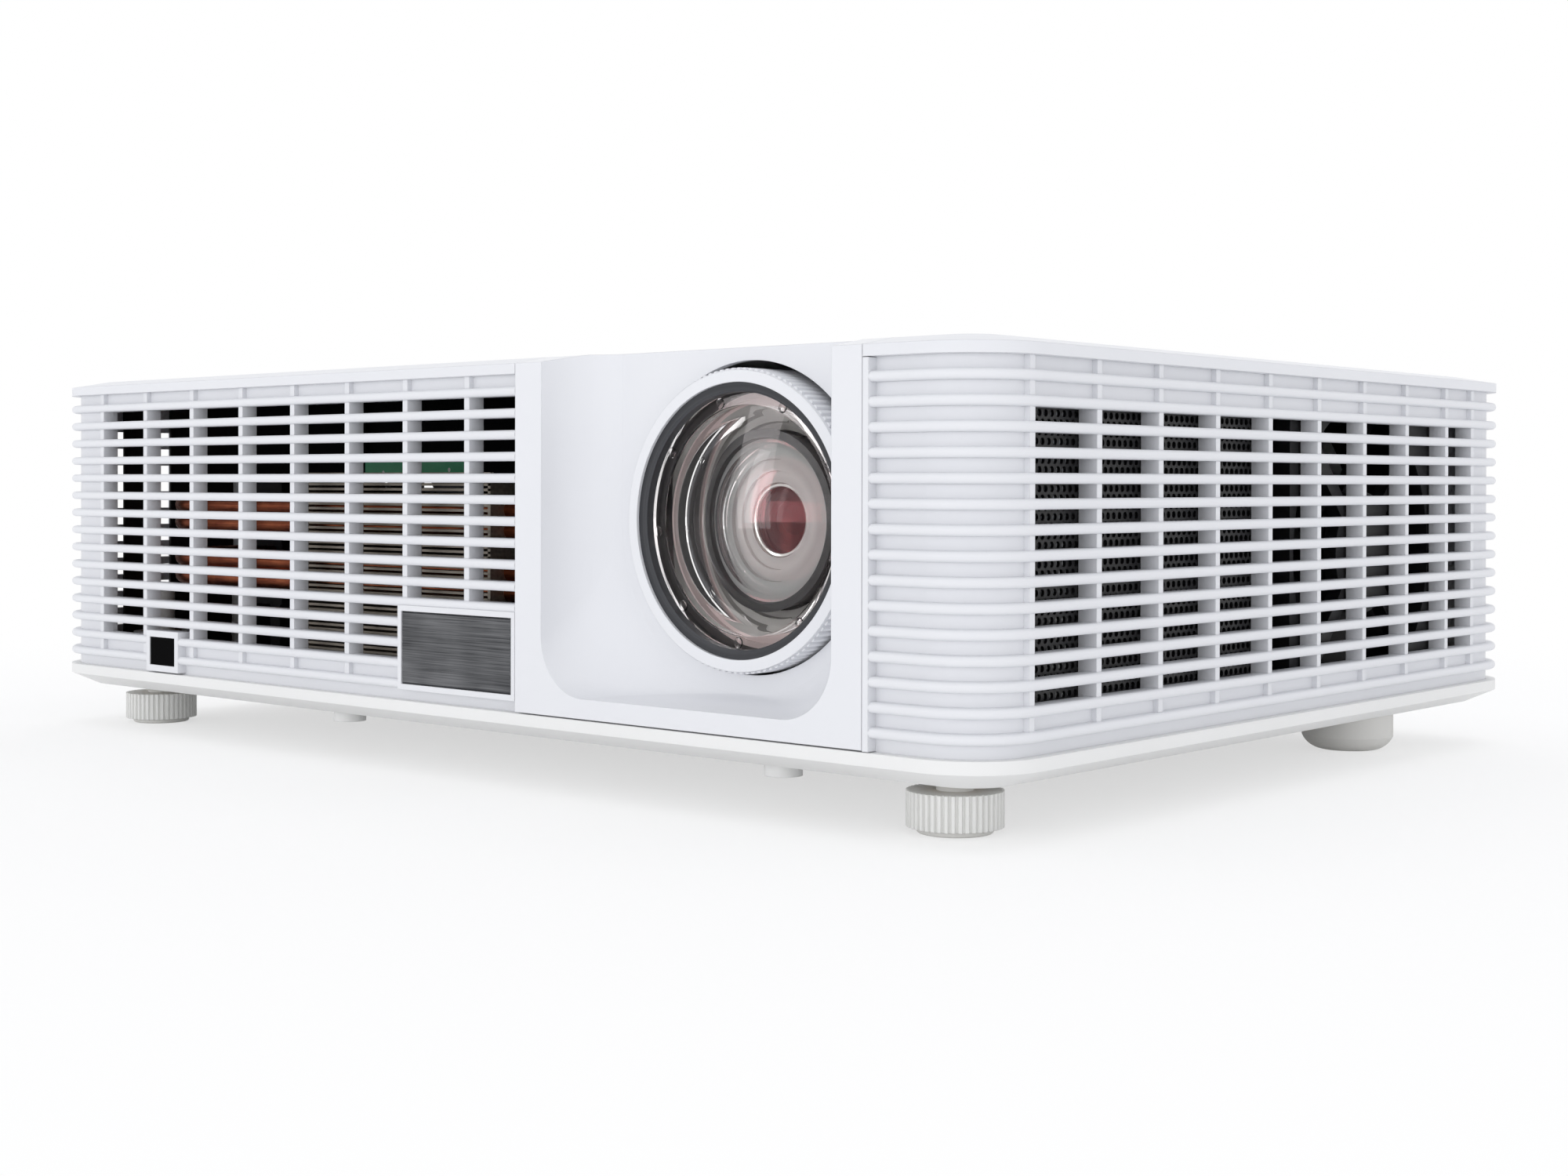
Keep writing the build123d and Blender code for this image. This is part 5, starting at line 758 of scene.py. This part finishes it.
@dataclass
class ProjectionLens:
    """Front meniscus, the two glasses of the sliding cell, and the rings round them."""

    flange_w: float = 3.6
    flange_t: float = 2.4
    front_step: float = 1.0
    back_in: float = 2.0
    centre_t: float = 3.6
    back_sag: float = 7.0
    second_bulge: float = 7.0
    second_back_sag: float = 6.0
    second_back_in: float = 2.0
    rear_bulge: float = 1.5
    rear_set: float = 0.2
    pips: int = 9
    pip_start: float = 26.0
    pip_r: float = 1.5
    pip_h: float = 0.35
    pip_taper: float = 0.85
    pip_rim: float = 0.25
    pip_dip: float = 0.7
    play: float = 0.1
    ring_w: float = 1.0
    ring_t: float = 0.5
    ring_edge: float = 0.6
    ring_steps: int = 96
    stop_r: float = 3.4
    stop_rings: tuple[float, ...] = (7.6, 6.2, 4.8)
    stop_t: float = 1.5
    stop_gap: float = 0.05

    def span(self, node: str) -> Point:
        """Looks up a turned node.

        Args:
            node: its name.

        Returns:
            Its radius, front and back.
        """
        low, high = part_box(node)
        return (high.x - low.x) / 2 / MM, low.y / MM, high.y / MM

    def front_glass(self) -> None:
        """Meniscus with its flat flange and the round marks that the ejector pins left in it."""
        edge, apex, _ = self.span("front_element")
        clear = edge - self.flange_w
        back_apex = apex + self.centre_t
        rim = back_apex + self.back_sag
        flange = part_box("front_retainer")[1].y / MM + self.play
        flange_back = flange + self.flange_t
        outline = TurnedProfile()
        outline.line_to(0, apex).arc_to(clear, flange + self.front_step).line_to(clear, flange)
        outline.line_to(edge, flange).line_to(edge, flange_back).line_to(clear, flange_back)
        outline.line_to(clear, rim).line_to(clear - self.back_in, rim).arc_to(0, back_apex)
        mesh = outline.turned()
        reach = edge - self.flange_w / 2 - self.play
        for k in range(self.pips):
            angle = math.tau * k / self.pips + math.radians(self.pip_start)
            at = (LENS_X + reach * math.cos(angle), flange, LENS_Z + reach * math.sin(angle))
            turn = Matrix.Translation(Vector(at) * MM) @ Matrix.Rotation(math.pi / 2, 4, "X")
            made = bmesh.ops.create_cone(mesh, cap_ends=True, segments=24, radius1=self.pip_r * MM,
                                         radius2=self.pip_r * self.pip_taper * MM, depth=self.pip_h * MM,
                                         matrix=turn)["verts"]
            faces = {face for vert in made for face in vert.link_faces}
            top = min(faces, key=lambda face: face.calc_center_median().y)
            bmesh.ops.inset_individual(mesh, faces=[top], thickness=self.pip_r * self.pip_rim * MM, depth=0.0)
            bmesh.ops.translate(mesh, vec=(0, self.pip_h * self.pip_dip * MM, 0), verts=top.verts[:])
        set_down("front_glass", mesh, FRONT_ACRYLIC, "root", "front_element")

    def second_glass(self) -> None:
        """Thick domed glass with a hollow back, in the sliding cell."""
        edge, apex, back = self.span("second_element")
        outline = TurnedProfile()
        outline.line_to(0, apex).arc_to(edge, apex + self.second_bulge).line_to(edge, back)
        outline.line_to(edge - self.second_back_in, back).arc_to(0, back - self.second_back_sag)
        set_down("second_glass", outline.turned(), SECOND_CROWN, "focus_group",
                 "second_element")

    def rear_glass(self) -> None:
        """Small domed glass at the back of the lens."""
        edge, apex, back = self.span("rear_element")
        outline = TurnedProfile()
        outline.line_to(0, apex).arc_to(edge, apex + self.rear_bulge).line_to(edge, back).line_to(0, back)
        set_down("rear_glass", outline.turned(), REAR_FLINT, "focus_group", "rear_element")

    def rear_ring(self) -> None:
        """Thin bright ring on the cell's innermost step, round the rear glass."""
        edge, apex, _ = self.span("rear_element")
        inner = edge + self.play
        back = apex + self.rear_bulge - self.rear_set
        shoulder = back - self.ring_t * self.ring_edge
        outline = TurnedProfile(self.ring_steps)
        outline.line_to(inner, back).line_to(inner, shoulder)
        outline.line_to(inner + self.ring_w / 2, back - self.ring_t)
        outline.line_to(inner + self.ring_w, shoulder)
        outline.line_to(inner + self.ring_w, back).line_to(inner, back)
        set_down("rear_ring", outline.turned(), RING_BRIGHT, "focus_group")

    def stop(self) -> None:
        """Stepped stop in the cell's web, just behind the rear glass."""
        front = self.span("rear_element")[2] + self.stop_gap
        step = self.stop_t / len(self.stop_rings)
        outline = TurnedProfile(self.ring_steps)
        outline.line_to(self.stop_rings[0], front + self.stop_t).line_to(self.stop_rings[0], front)
        for k, radius in enumerate(self.stop_rings[1:] + (self.stop_r,)):
            outline.line_to(radius, front + step * k).line_to(radius, front + step * (k + 1))
        outline.line_to(self.stop_rings[0], front + self.stop_t)
        set_down("lens_stop", outline.turned(), STOP_LACQUER, "focus_group")

    def build(self) -> None:
        """Makes the glasses, the ring and the stop, and dresses the tube round them."""
        self.front_glass()
        self.second_glass()
        self.rear_glass()
        self.rear_ring()
        self.stop()
        coat(FRONT_ACRYLIC, "front_element")
        coat(SECOND_CROWN, "second_element")
        coat(REAR_FLINT, "rear_element")
        coat(RETAINER_ANODISED, "front_retainer")
        # The baffle's pinkish rim is painted reflection.
        coat(BAFFLE_GREY, "baffle_cone")
        coat(TUBE_BLACK, "lens_barrel")
        coat(CELL_SATIN, "focus_cell")


@dataclass
class LightEngine:
    """Engine, wheels, laser bank with its pipes and fins, boards and fans inside the case."""

    fin_pitch: float = 1.5
    fin_t: float = 0.35
    fin_lip: float = 0.75
    fins_low: float = 24.0
    cap_rise: float = 2.8
    end_t: float = 1.2
    pipe_rows: tuple[float, ...] = (76.9, 70.9, 58.9, 52.9)
    pipe_reach: float = 3.6
    pipe_y: float = -133.6
    near: float = 0.1
    board_t: float = 1.6

    def fin_stack(self) -> None:
        """Level fins with folded front lips, short where the pipes run, between end plates under a cap."""
        low, high = (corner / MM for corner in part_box("laser_heatsink"))
        mesh = bmesh.new()
        middle = (low + high) / 2
        at = high.z - self.fin_t
        while at > self.fins_low:
            short = any(abs(at - row) < self.pipe_reach for row in self.pipe_rows)
            back = self.pipe_y if short else high.y
            place = (Matrix.Translation(Vector((middle.x, (low.y + back) / 2, at)) * MM)
                     @ Matrix.Diagonal(((high.x - low.x) / 2 * MM, (back - low.y) / 2 * MM, 1, 1)))
            corners = bmesh.ops.create_grid(mesh, x_segments=1, y_segments=1, size=1.0, matrix=place)["verts"]
            front = [v for v in corners if v.co.y < (low.y + self.near) * MM]
            edge = next(e for e in front[0].link_edges if e.other_vert(front[0]) in front)
            fold = bmesh.ops.extrude_edge_only(mesh, edges=[edge])["geom"]
            bmesh.ops.translate(mesh, vec=(0, 0, -self.fin_lip * MM), verts=verts_of(fold))
            at -= self.fin_pitch
        bmesh.ops.recalc_face_normals(mesh, faces=mesh.faces)
        bmesh.ops.solidify(mesh, geom=mesh.faces[:], thickness=self.fin_t * MM)
        for x in (low.x, high.x - self.end_t):
            add_block(mesh, (x, low.y, low.z), (self.end_t, high.y - low.y, high.z - low.z))
        add_block(mesh, (low.x, low.y, high.z), (high.x - low.x, self.end_t, self.cap_rise))
        # The fins' brown-grey colour is painted shade.
        set_down("fin_stack", mesh, FIN_ALUMINIUM, "root", "laser_heatsink")

    def dress(self) -> None:
        """Gives the inside its finishes."""
        self.fin_stack()
        coat(CAST_COAT, "engine_housing", "laser_bank")
        # The heatsinks wear the fins' painted shade.
        coat(FIN_ALUMINIUM, "dmd_heatsink", "laser_heatsink")
        coat(PIPE_COPPER, "heat_pipes")
        coat(TUNNEL_GLASS, "light_tunnel")
        coat(COLOUR_WHEEL, "colour_wheel")
        coat(PHOSPHOR, "phosphor_wheel")
        coat(PLATED_STEEL, "wheel_motors", "board_standoffs", "screws")
        coat(INSERT_BRASS, "threaded_inserts")
        coat(BLACK_ABS, "fan_frames", "intake_fan_rotor", "exhaust_fan_rotor", "speaker")
        coat(SCREEN_COAT, "intake_mesh")
        coat(MAIN_BOARD, "main_board")
        coat(PSU_BOARD, "power_supply_board")
        coat(DRIVER_BOARD, "driver_board")
        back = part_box("dmd_board")[1].y / MM
        coat(CircuitBoard("solder_mask_chip_board", Axis.Y, back - self.board_t, back), "dmd_board")
        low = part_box("keypad_board")[0].z / MM
        coat(CircuitBoard("solder_mask_keypad_board", Axis.Z, low, low + self.board_t), "keypad_board")


@dataclass
class AirSealAndShadePlate:
    """Black foam over the main board, and dark plates of painted shade behind the left grille on both sides
    of its fan.
    """

    thick: float = 1.5
    seal_x: Pair = (-150.0, 62.0)
    seal_y: float = -109.4
    apron_x: Pair = (-71.3, -18.7)
    apron_y: float = -111.5
    apron_z: float = 86.2
    roof: float = 117.25
    plate_x: float = -196.9
    plate_z: Pair = (21.25, 114.55)
    plate_y: tuple[Pair, ...] = ((-134.5, -127.0), (-123.8, -110.6), (-105.0, -68.05))
    rail_in: float = 0.3
    rail_t: float = 0.9
    rail_h: float = 3.0
    blank_y: Pair = (24.6, 126.0)
    soft: float = 0.35

    def wall(self, mesh: Mesh, low: Point, size: Point) -> None:
        """Adds one wall with softened edges.

        Args:
            mesh: bmesh that takes it.
            low: its lowest corner.
            size: its extent along each axis.
        """
        edges = list({edge for vert in add_block(mesh, low, size) for edge in vert.link_edges})
        bmesh.ops.bevel(mesh, geom=edges, offset=self.soft * MM, affect="EDGES", segments=3, profile=0.5,
                        material=-1)

    def build(self) -> None:
        """Sets the seal between main board and cover, and the dark plates of painted shade on the rim of
        the tray.
        """
        deck = MAIN_BOARD.high
        seal = bmesh.new()
        self.wall(seal, (self.seal_x[0], self.seal_y, deck),
                  (self.seal_x[1] - self.seal_x[0], self.thick, self.roof - deck))
        for left, right in ((self.seal_x[0], self.apron_x[0]), (self.apron_x[1], self.seal_x[1])):
            self.wall(seal, (left, self.apron_y, self.apron_z),
                      (right - left, MAIN_BOARD.edge - self.apron_y, self.roof - self.apron_z))
        set_down("board_seal", seal, SEAL_FOAM, "root")
        # Dark plates of painted shade behind the left grille, round its fan.
        plate = bmesh.new()
        low, high = self.plate_z
        for front, back in self.plate_y + (self.blank_y,):
            self.wall(plate, (self.plate_x, front, low), (self.thick, back - front, high - low))
        first, last = self.plate_y[0][0], self.plate_y[-1][1]
        for bottom in (low, high - self.rail_h):
            self.wall(plate, (self.plate_x + self.rail_in, first, bottom),
                      (self.rail_t, last - first, self.rail_h))
        set_down("exhaust_plate", plate, PAINTED_SHADE_PLATE, "root")


@dataclass
class Connections:
    """Sockets of the rear panel."""

    def dress(self) -> None:
        """Gives the sockets their finishes."""
        coat(PLATED_STEEL, "hdmi_ports", "lan_port", "usb_port", "vga_port")
        coat(BLACK_ABS, "ac_inlet", "audio_jacks")


@dataclass
class Keypad:
    """Plate, keys with their printed marks, and light pipes on the top."""

    mark: float = 2.1
    line: float = 0.35
    print_t: float = 0.06
    sink: float = 0.02
    arrow_share: float = 0.8
    arc: Pair = (130, 280)
    arc_steps: int = 40
    stem_share: float = 0.75
    menu_w: float = 3.6
    menu_gap: float = 1.2
    screen: Pair = (4.0, 2.6)
    screen_share: float = 1.4

    def bar(self, mesh: Mesh, centre: Pair, size: Pair) -> None:
        """Adds a thin printed bar.

        Args:
            mesh: bmesh that takes it.
            centre: its middle on the key.
            size: its width and depth.
        """
        place = Matrix.Translation((centre[0] * MM, centre[1] * MM, 0))
        scale = Matrix.Diagonal((size[0] * MM, size[1] * MM, self.print_t * MM, 1))
        bmesh.ops.create_cube(mesh, size=1.0, matrix=place @ scale)

    def arrow(self, mesh: Mesh, degrees: float) -> None:
        """Adds a printed triangle that points some way.

        Args:
            mesh: bmesh that takes it.
            degrees: turn from pointing right.
        """
        turn = Matrix.Rotation(math.radians(degrees), 4, "Z")
        radius = self.mark * self.arrow_share * MM
        bmesh.ops.create_cone(mesh, cap_ends=True, segments=3, radius1=radius, radius2=radius,
                              depth=self.print_t * MM, matrix=turn @ Matrix.Rotation(-math.pi / 2, 4, "Z"))

    def ring(self, mesh: Mesh, start: float, sweep: float) -> None:
        """Adds a printed ring or part of one.

        Args:
            mesh: bmesh that takes it.
            start: angle where it begins, in degrees.
            sweep: angle that it covers, in degrees.
        """
        half = self.print_t / 2
        corners = [(self.mark - self.line, -half), (self.mark, -half), (self.mark, half),
                   (self.mark - self.line, half)]
        turn = Matrix.Rotation(math.radians(start), 4, "Z")
        verts = [mesh.verts.new(turn @ Vector((r * MM, 0, z * MM))) for r, z in corners]
        face = mesh.faces.new(verts)
        full = sweep >= 360
        geom = verts + list(face.edges) + ([] if full else [face])
        if full:
            mesh.faces.remove(face)
        bmesh.ops.spin(mesh, geom=geom, cent=(0, 0, 0), axis=(0, 0, 1), angle=math.radians(sweep),
                       steps=self.arc_steps, use_merge=full, use_duplicate=False)

    def draw(self, mesh: Mesh, symbol: Symbol) -> None:
        """Draws one mark about the origin.

        Args:
            mesh: bmesh that takes it.
            symbol: which mark.
        """
        turns = {Symbol.ARROW_RIGHT: 0, Symbol.ARROW_UP: 90, Symbol.ARROW_LEFT: 180, Symbol.ARROW_DOWN: 270}
        if symbol in turns:
            self.arrow(mesh, turns[symbol])
        elif symbol is Symbol.RING:
            self.ring(mesh, 0, 360)
        elif symbol is Symbol.POWER:
            self.ring(mesh, *self.arc)
            self.bar(mesh, (0, self.mark * self.stem_share), (self.line, self.mark))
        elif symbol is Symbol.LINES:
            for step in (-self.menu_gap, 0, self.menu_gap):
                self.bar(mesh, (0, step), (self.menu_w, self.line))
        else:
            wide, deep = self.screen
            for step in (-deep / 2, deep / 2):
                self.bar(mesh, (0, step), (wide, self.line))
                self.bar(mesh, (step * self.screen_share, 0), (self.line, deep))

    def build(self) -> None:
        """Prints each key's mark on its top and dresses the keypad."""
        for symbol in Symbol:
            key = f"{symbol.value}_button"
            low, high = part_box(key)
            mesh = bmesh.new()
            self.draw(mesh, symbol)
            bmesh.ops.remove_doubles(mesh, verts=mesh.verts, dist=NEAR_M)
            bmesh.ops.recalc_face_normals(mesh, faces=mesh.faces)
            middle = (low + high) / 2
            lift = high.z + (self.print_t / 2 - self.sink) * MM
            bmesh.ops.translate(mesh, vec=(middle.x, middle.y, lift), verts=mesh.verts)
            set_down(f"{symbol.value}_mark", mesh, KEY_INK, key)
            coat(KEYPAD_PC, key)
        coat(KEYPAD_PC, "keypad_plate")
        coat(PIPE_CLEAR, "indicator_lights")


@dataclass
class Studio:
    """Pale floor, soft lamps, white surroundings and the camera."""

    floor_half_m: float = 6.0
    fade_m: Pair = (0.26, 0.6)
    near_white: float = 0.6
    floor_colour: str = "#FDFDFD"
    sky: str = "#FBFCFF"
    fill: float = 0.8
    camera_m: Point = (0.4772, -0.5265, 0.0848)
    azimuth: float = 41.47
    pitch: float = 0.342
    roll: float = 0.11
    lens: float = 47.64
    sensor: float = 36.0
    rise_px: float = -118.6
    clip_m: float = 0.01
    lamps: tuple[Lamp, ...] = (
        ("lamp_over", (0.0, 0.1, 1.9), (2.4, 2.4), 7.5),
        ("lamp_front", (0.1, -2.2, 0.25), (2.2, 0.9), 12.0),
        ("lamp_right", (2.1, -0.6, 0.25), (1.8, 0.9), 5.0),
        ("lamp_back", (-0.8, 1.9, 0.9), (1.8, 1.8), 7.0),
    )
    aim_m: Point = (0.0, 0.0, 0.06)
    strip: Lamp = ("lamp_strip", (-0.83, -1.31, 0.6), (0.3, 1.3), 8.0)
    glasses: tuple[str, ...] = ("front_glass", "second_glass", "rear_glass")

    def seen(self, add: Adder) -> Node:
        """Adds the test for rays that show the background.

        Args:
            add: adds a node.

        Returns:
            A node that gives 1 for camera, glossy and transmission rays.
        """
        path = add("ShaderNodeLightPath")
        mirror = add("ShaderNodeMath",
                     {0: path.outputs["Is Camera Ray"], 1: path.outputs["Is Glossy Ray"]},
                     operation="MAXIMUM")
        return add("ShaderNodeMath", {0: mirror, 1: path.outputs["Is Transmission Ray"]},
                   operation="MAXIMUM")

    def floor(self) -> None:
        """Pale floor that keeps the shadow near the object and fades to white away from it. Seen by camera,
        glossy and transmission rays it glows white, partly near the object, which paints that shadow lighter.
        """
        mesh = bmesh.new()
        bmesh.ops.create_grid(mesh, x_segments=1, y_segments=1, size=self.floor_half_m)
        data = bpy.data.meshes.new("floor")
        mesh.to_mesh(data)
        mesh.free()
        material = bpy.data.materials.new("painted_floor")
        add = adder_of(material)
        place = add("ShaderNodeTexCoord").outputs["Object"]
        reach = add("ShaderNodeVectorMath", {0: place}, operation="LENGTH")
        near, away = self.fade_m
        far = add("ShaderNodeMapRange",
                  {"Value": reach, "From Min": near, "From Max": away, "To Min": self.near_white},
                  interpolation_type="SMOOTHSTEP")
        both = add("ShaderNodeMath", {0: far, 1: self.seen(add)}, operation="MULTIPLY")
        paint = add("ShaderNodeBsdfDiffuse", {"Color": linear(self.floor_colour)})
        # Painted light: white glow that lightens the floor's shadow for the eye and in reflections.
        white = add("ShaderNodeEmission", {"Strength": 1.0})
        mixed = add("ShaderNodeMixShader", {0: both, 1: paint, 2: white})
        add("ShaderNodeOutputMaterial", {"Surface": mixed})
        data.materials.append(material)
        floor = add_object("floor", data)

    def world(self) -> None:
        """White surroundings for the eye and for reflections, dimmer as a light."""
        world = bpy.data.worlds.new("studio")
        add = adder_of(world)
        dim = add("ShaderNodeBackground", {"Color": linear(self.sky), "Strength": self.fill})
        white = add("ShaderNodeBackground", {"Color": linear("#FFFFFF"), "Strength": 1.0})
        mixed = add("ShaderNodeMixShader", {0: self.seen(add), 1: dim, 2: white})
        add("ShaderNodeOutputWorld", {"Surface": mixed})
        bpy.context.scene.world = world

    def lamp(self, name: str, place: Point, size: Pair, power: float) -> bpy.types.Object:
        """Sets up one soft lamp that faces the object.

        Args:
            name: the lamp's name.
            place: where it stands, in metres.
            size: its width and height.
            power: its power in watts.

        Returns:
            The lamp's object.
        """
        data = bpy.data.lights.new(name, "AREA")
        data.shape = "RECTANGLE"
        data.size, data.size_y = size
        data.energy = power
        lamp = add_object(name, data)
        lamp.location = place
        lamp.rotation_euler = (Vector(self.aim_m) - Vector(place)).to_track_quat("-Z", "Y").to_euler()
        return lamp

    def light(self) -> None:
        """Large soft lamps round the object, and a tall strip that shows only in the lens."""
        for row in self.lamps:
            self.lamp(*row).visible_glossy = False
        lens = bpy.data.collections.new("glasses")
        for name in self.glasses:
            lens.objects.link(bpy.data.objects[name])
        self.lamp(*self.strip).light_linking.receiver_collection = lens

    def camera(self) -> None:
        """Camera at the photograph's place, turned and shifted as it was."""
        data = bpy.data.cameras.new("camera")
        data.lens = self.lens
        data.sensor_width = self.sensor
        data.shift_y = self.rise_px / PHOTO_W
        data.clip_start = self.clip_m
        camera = add_object("camera", data)
        turn = (Matrix.Rotation(math.radians(self.azimuth), 4, "Z")
                @ Matrix.Rotation(math.radians(90 - self.pitch), 4, "X")
                @ Matrix.Rotation(math.radians(self.roll), 4, "Z"))
        camera.matrix_world = Matrix.Translation(self.camera_m) @ turn
        bpy.context.scene.camera = camera

    def build(self) -> None:
        """Sets up the studio."""
        self.floor()
        self.world()
        self.light()
        self.camera()
        bpy.context.scene.view_settings.view_transform = "Standard"


def main() -> None:
    """Builds the pieces in order."""
    logging.basicConfig(level=logging.INFO, format="%(name)s %(message)s")
    Case().dress()
    IntakeScreen().build()
    ProjectionLens().build()
    LightEngine().dress()
    AirSealAndShadePlate().build()
    Connections().dress()
    Keypad().build()
    Studio().build()


if __name__ == "__main__":
    main()
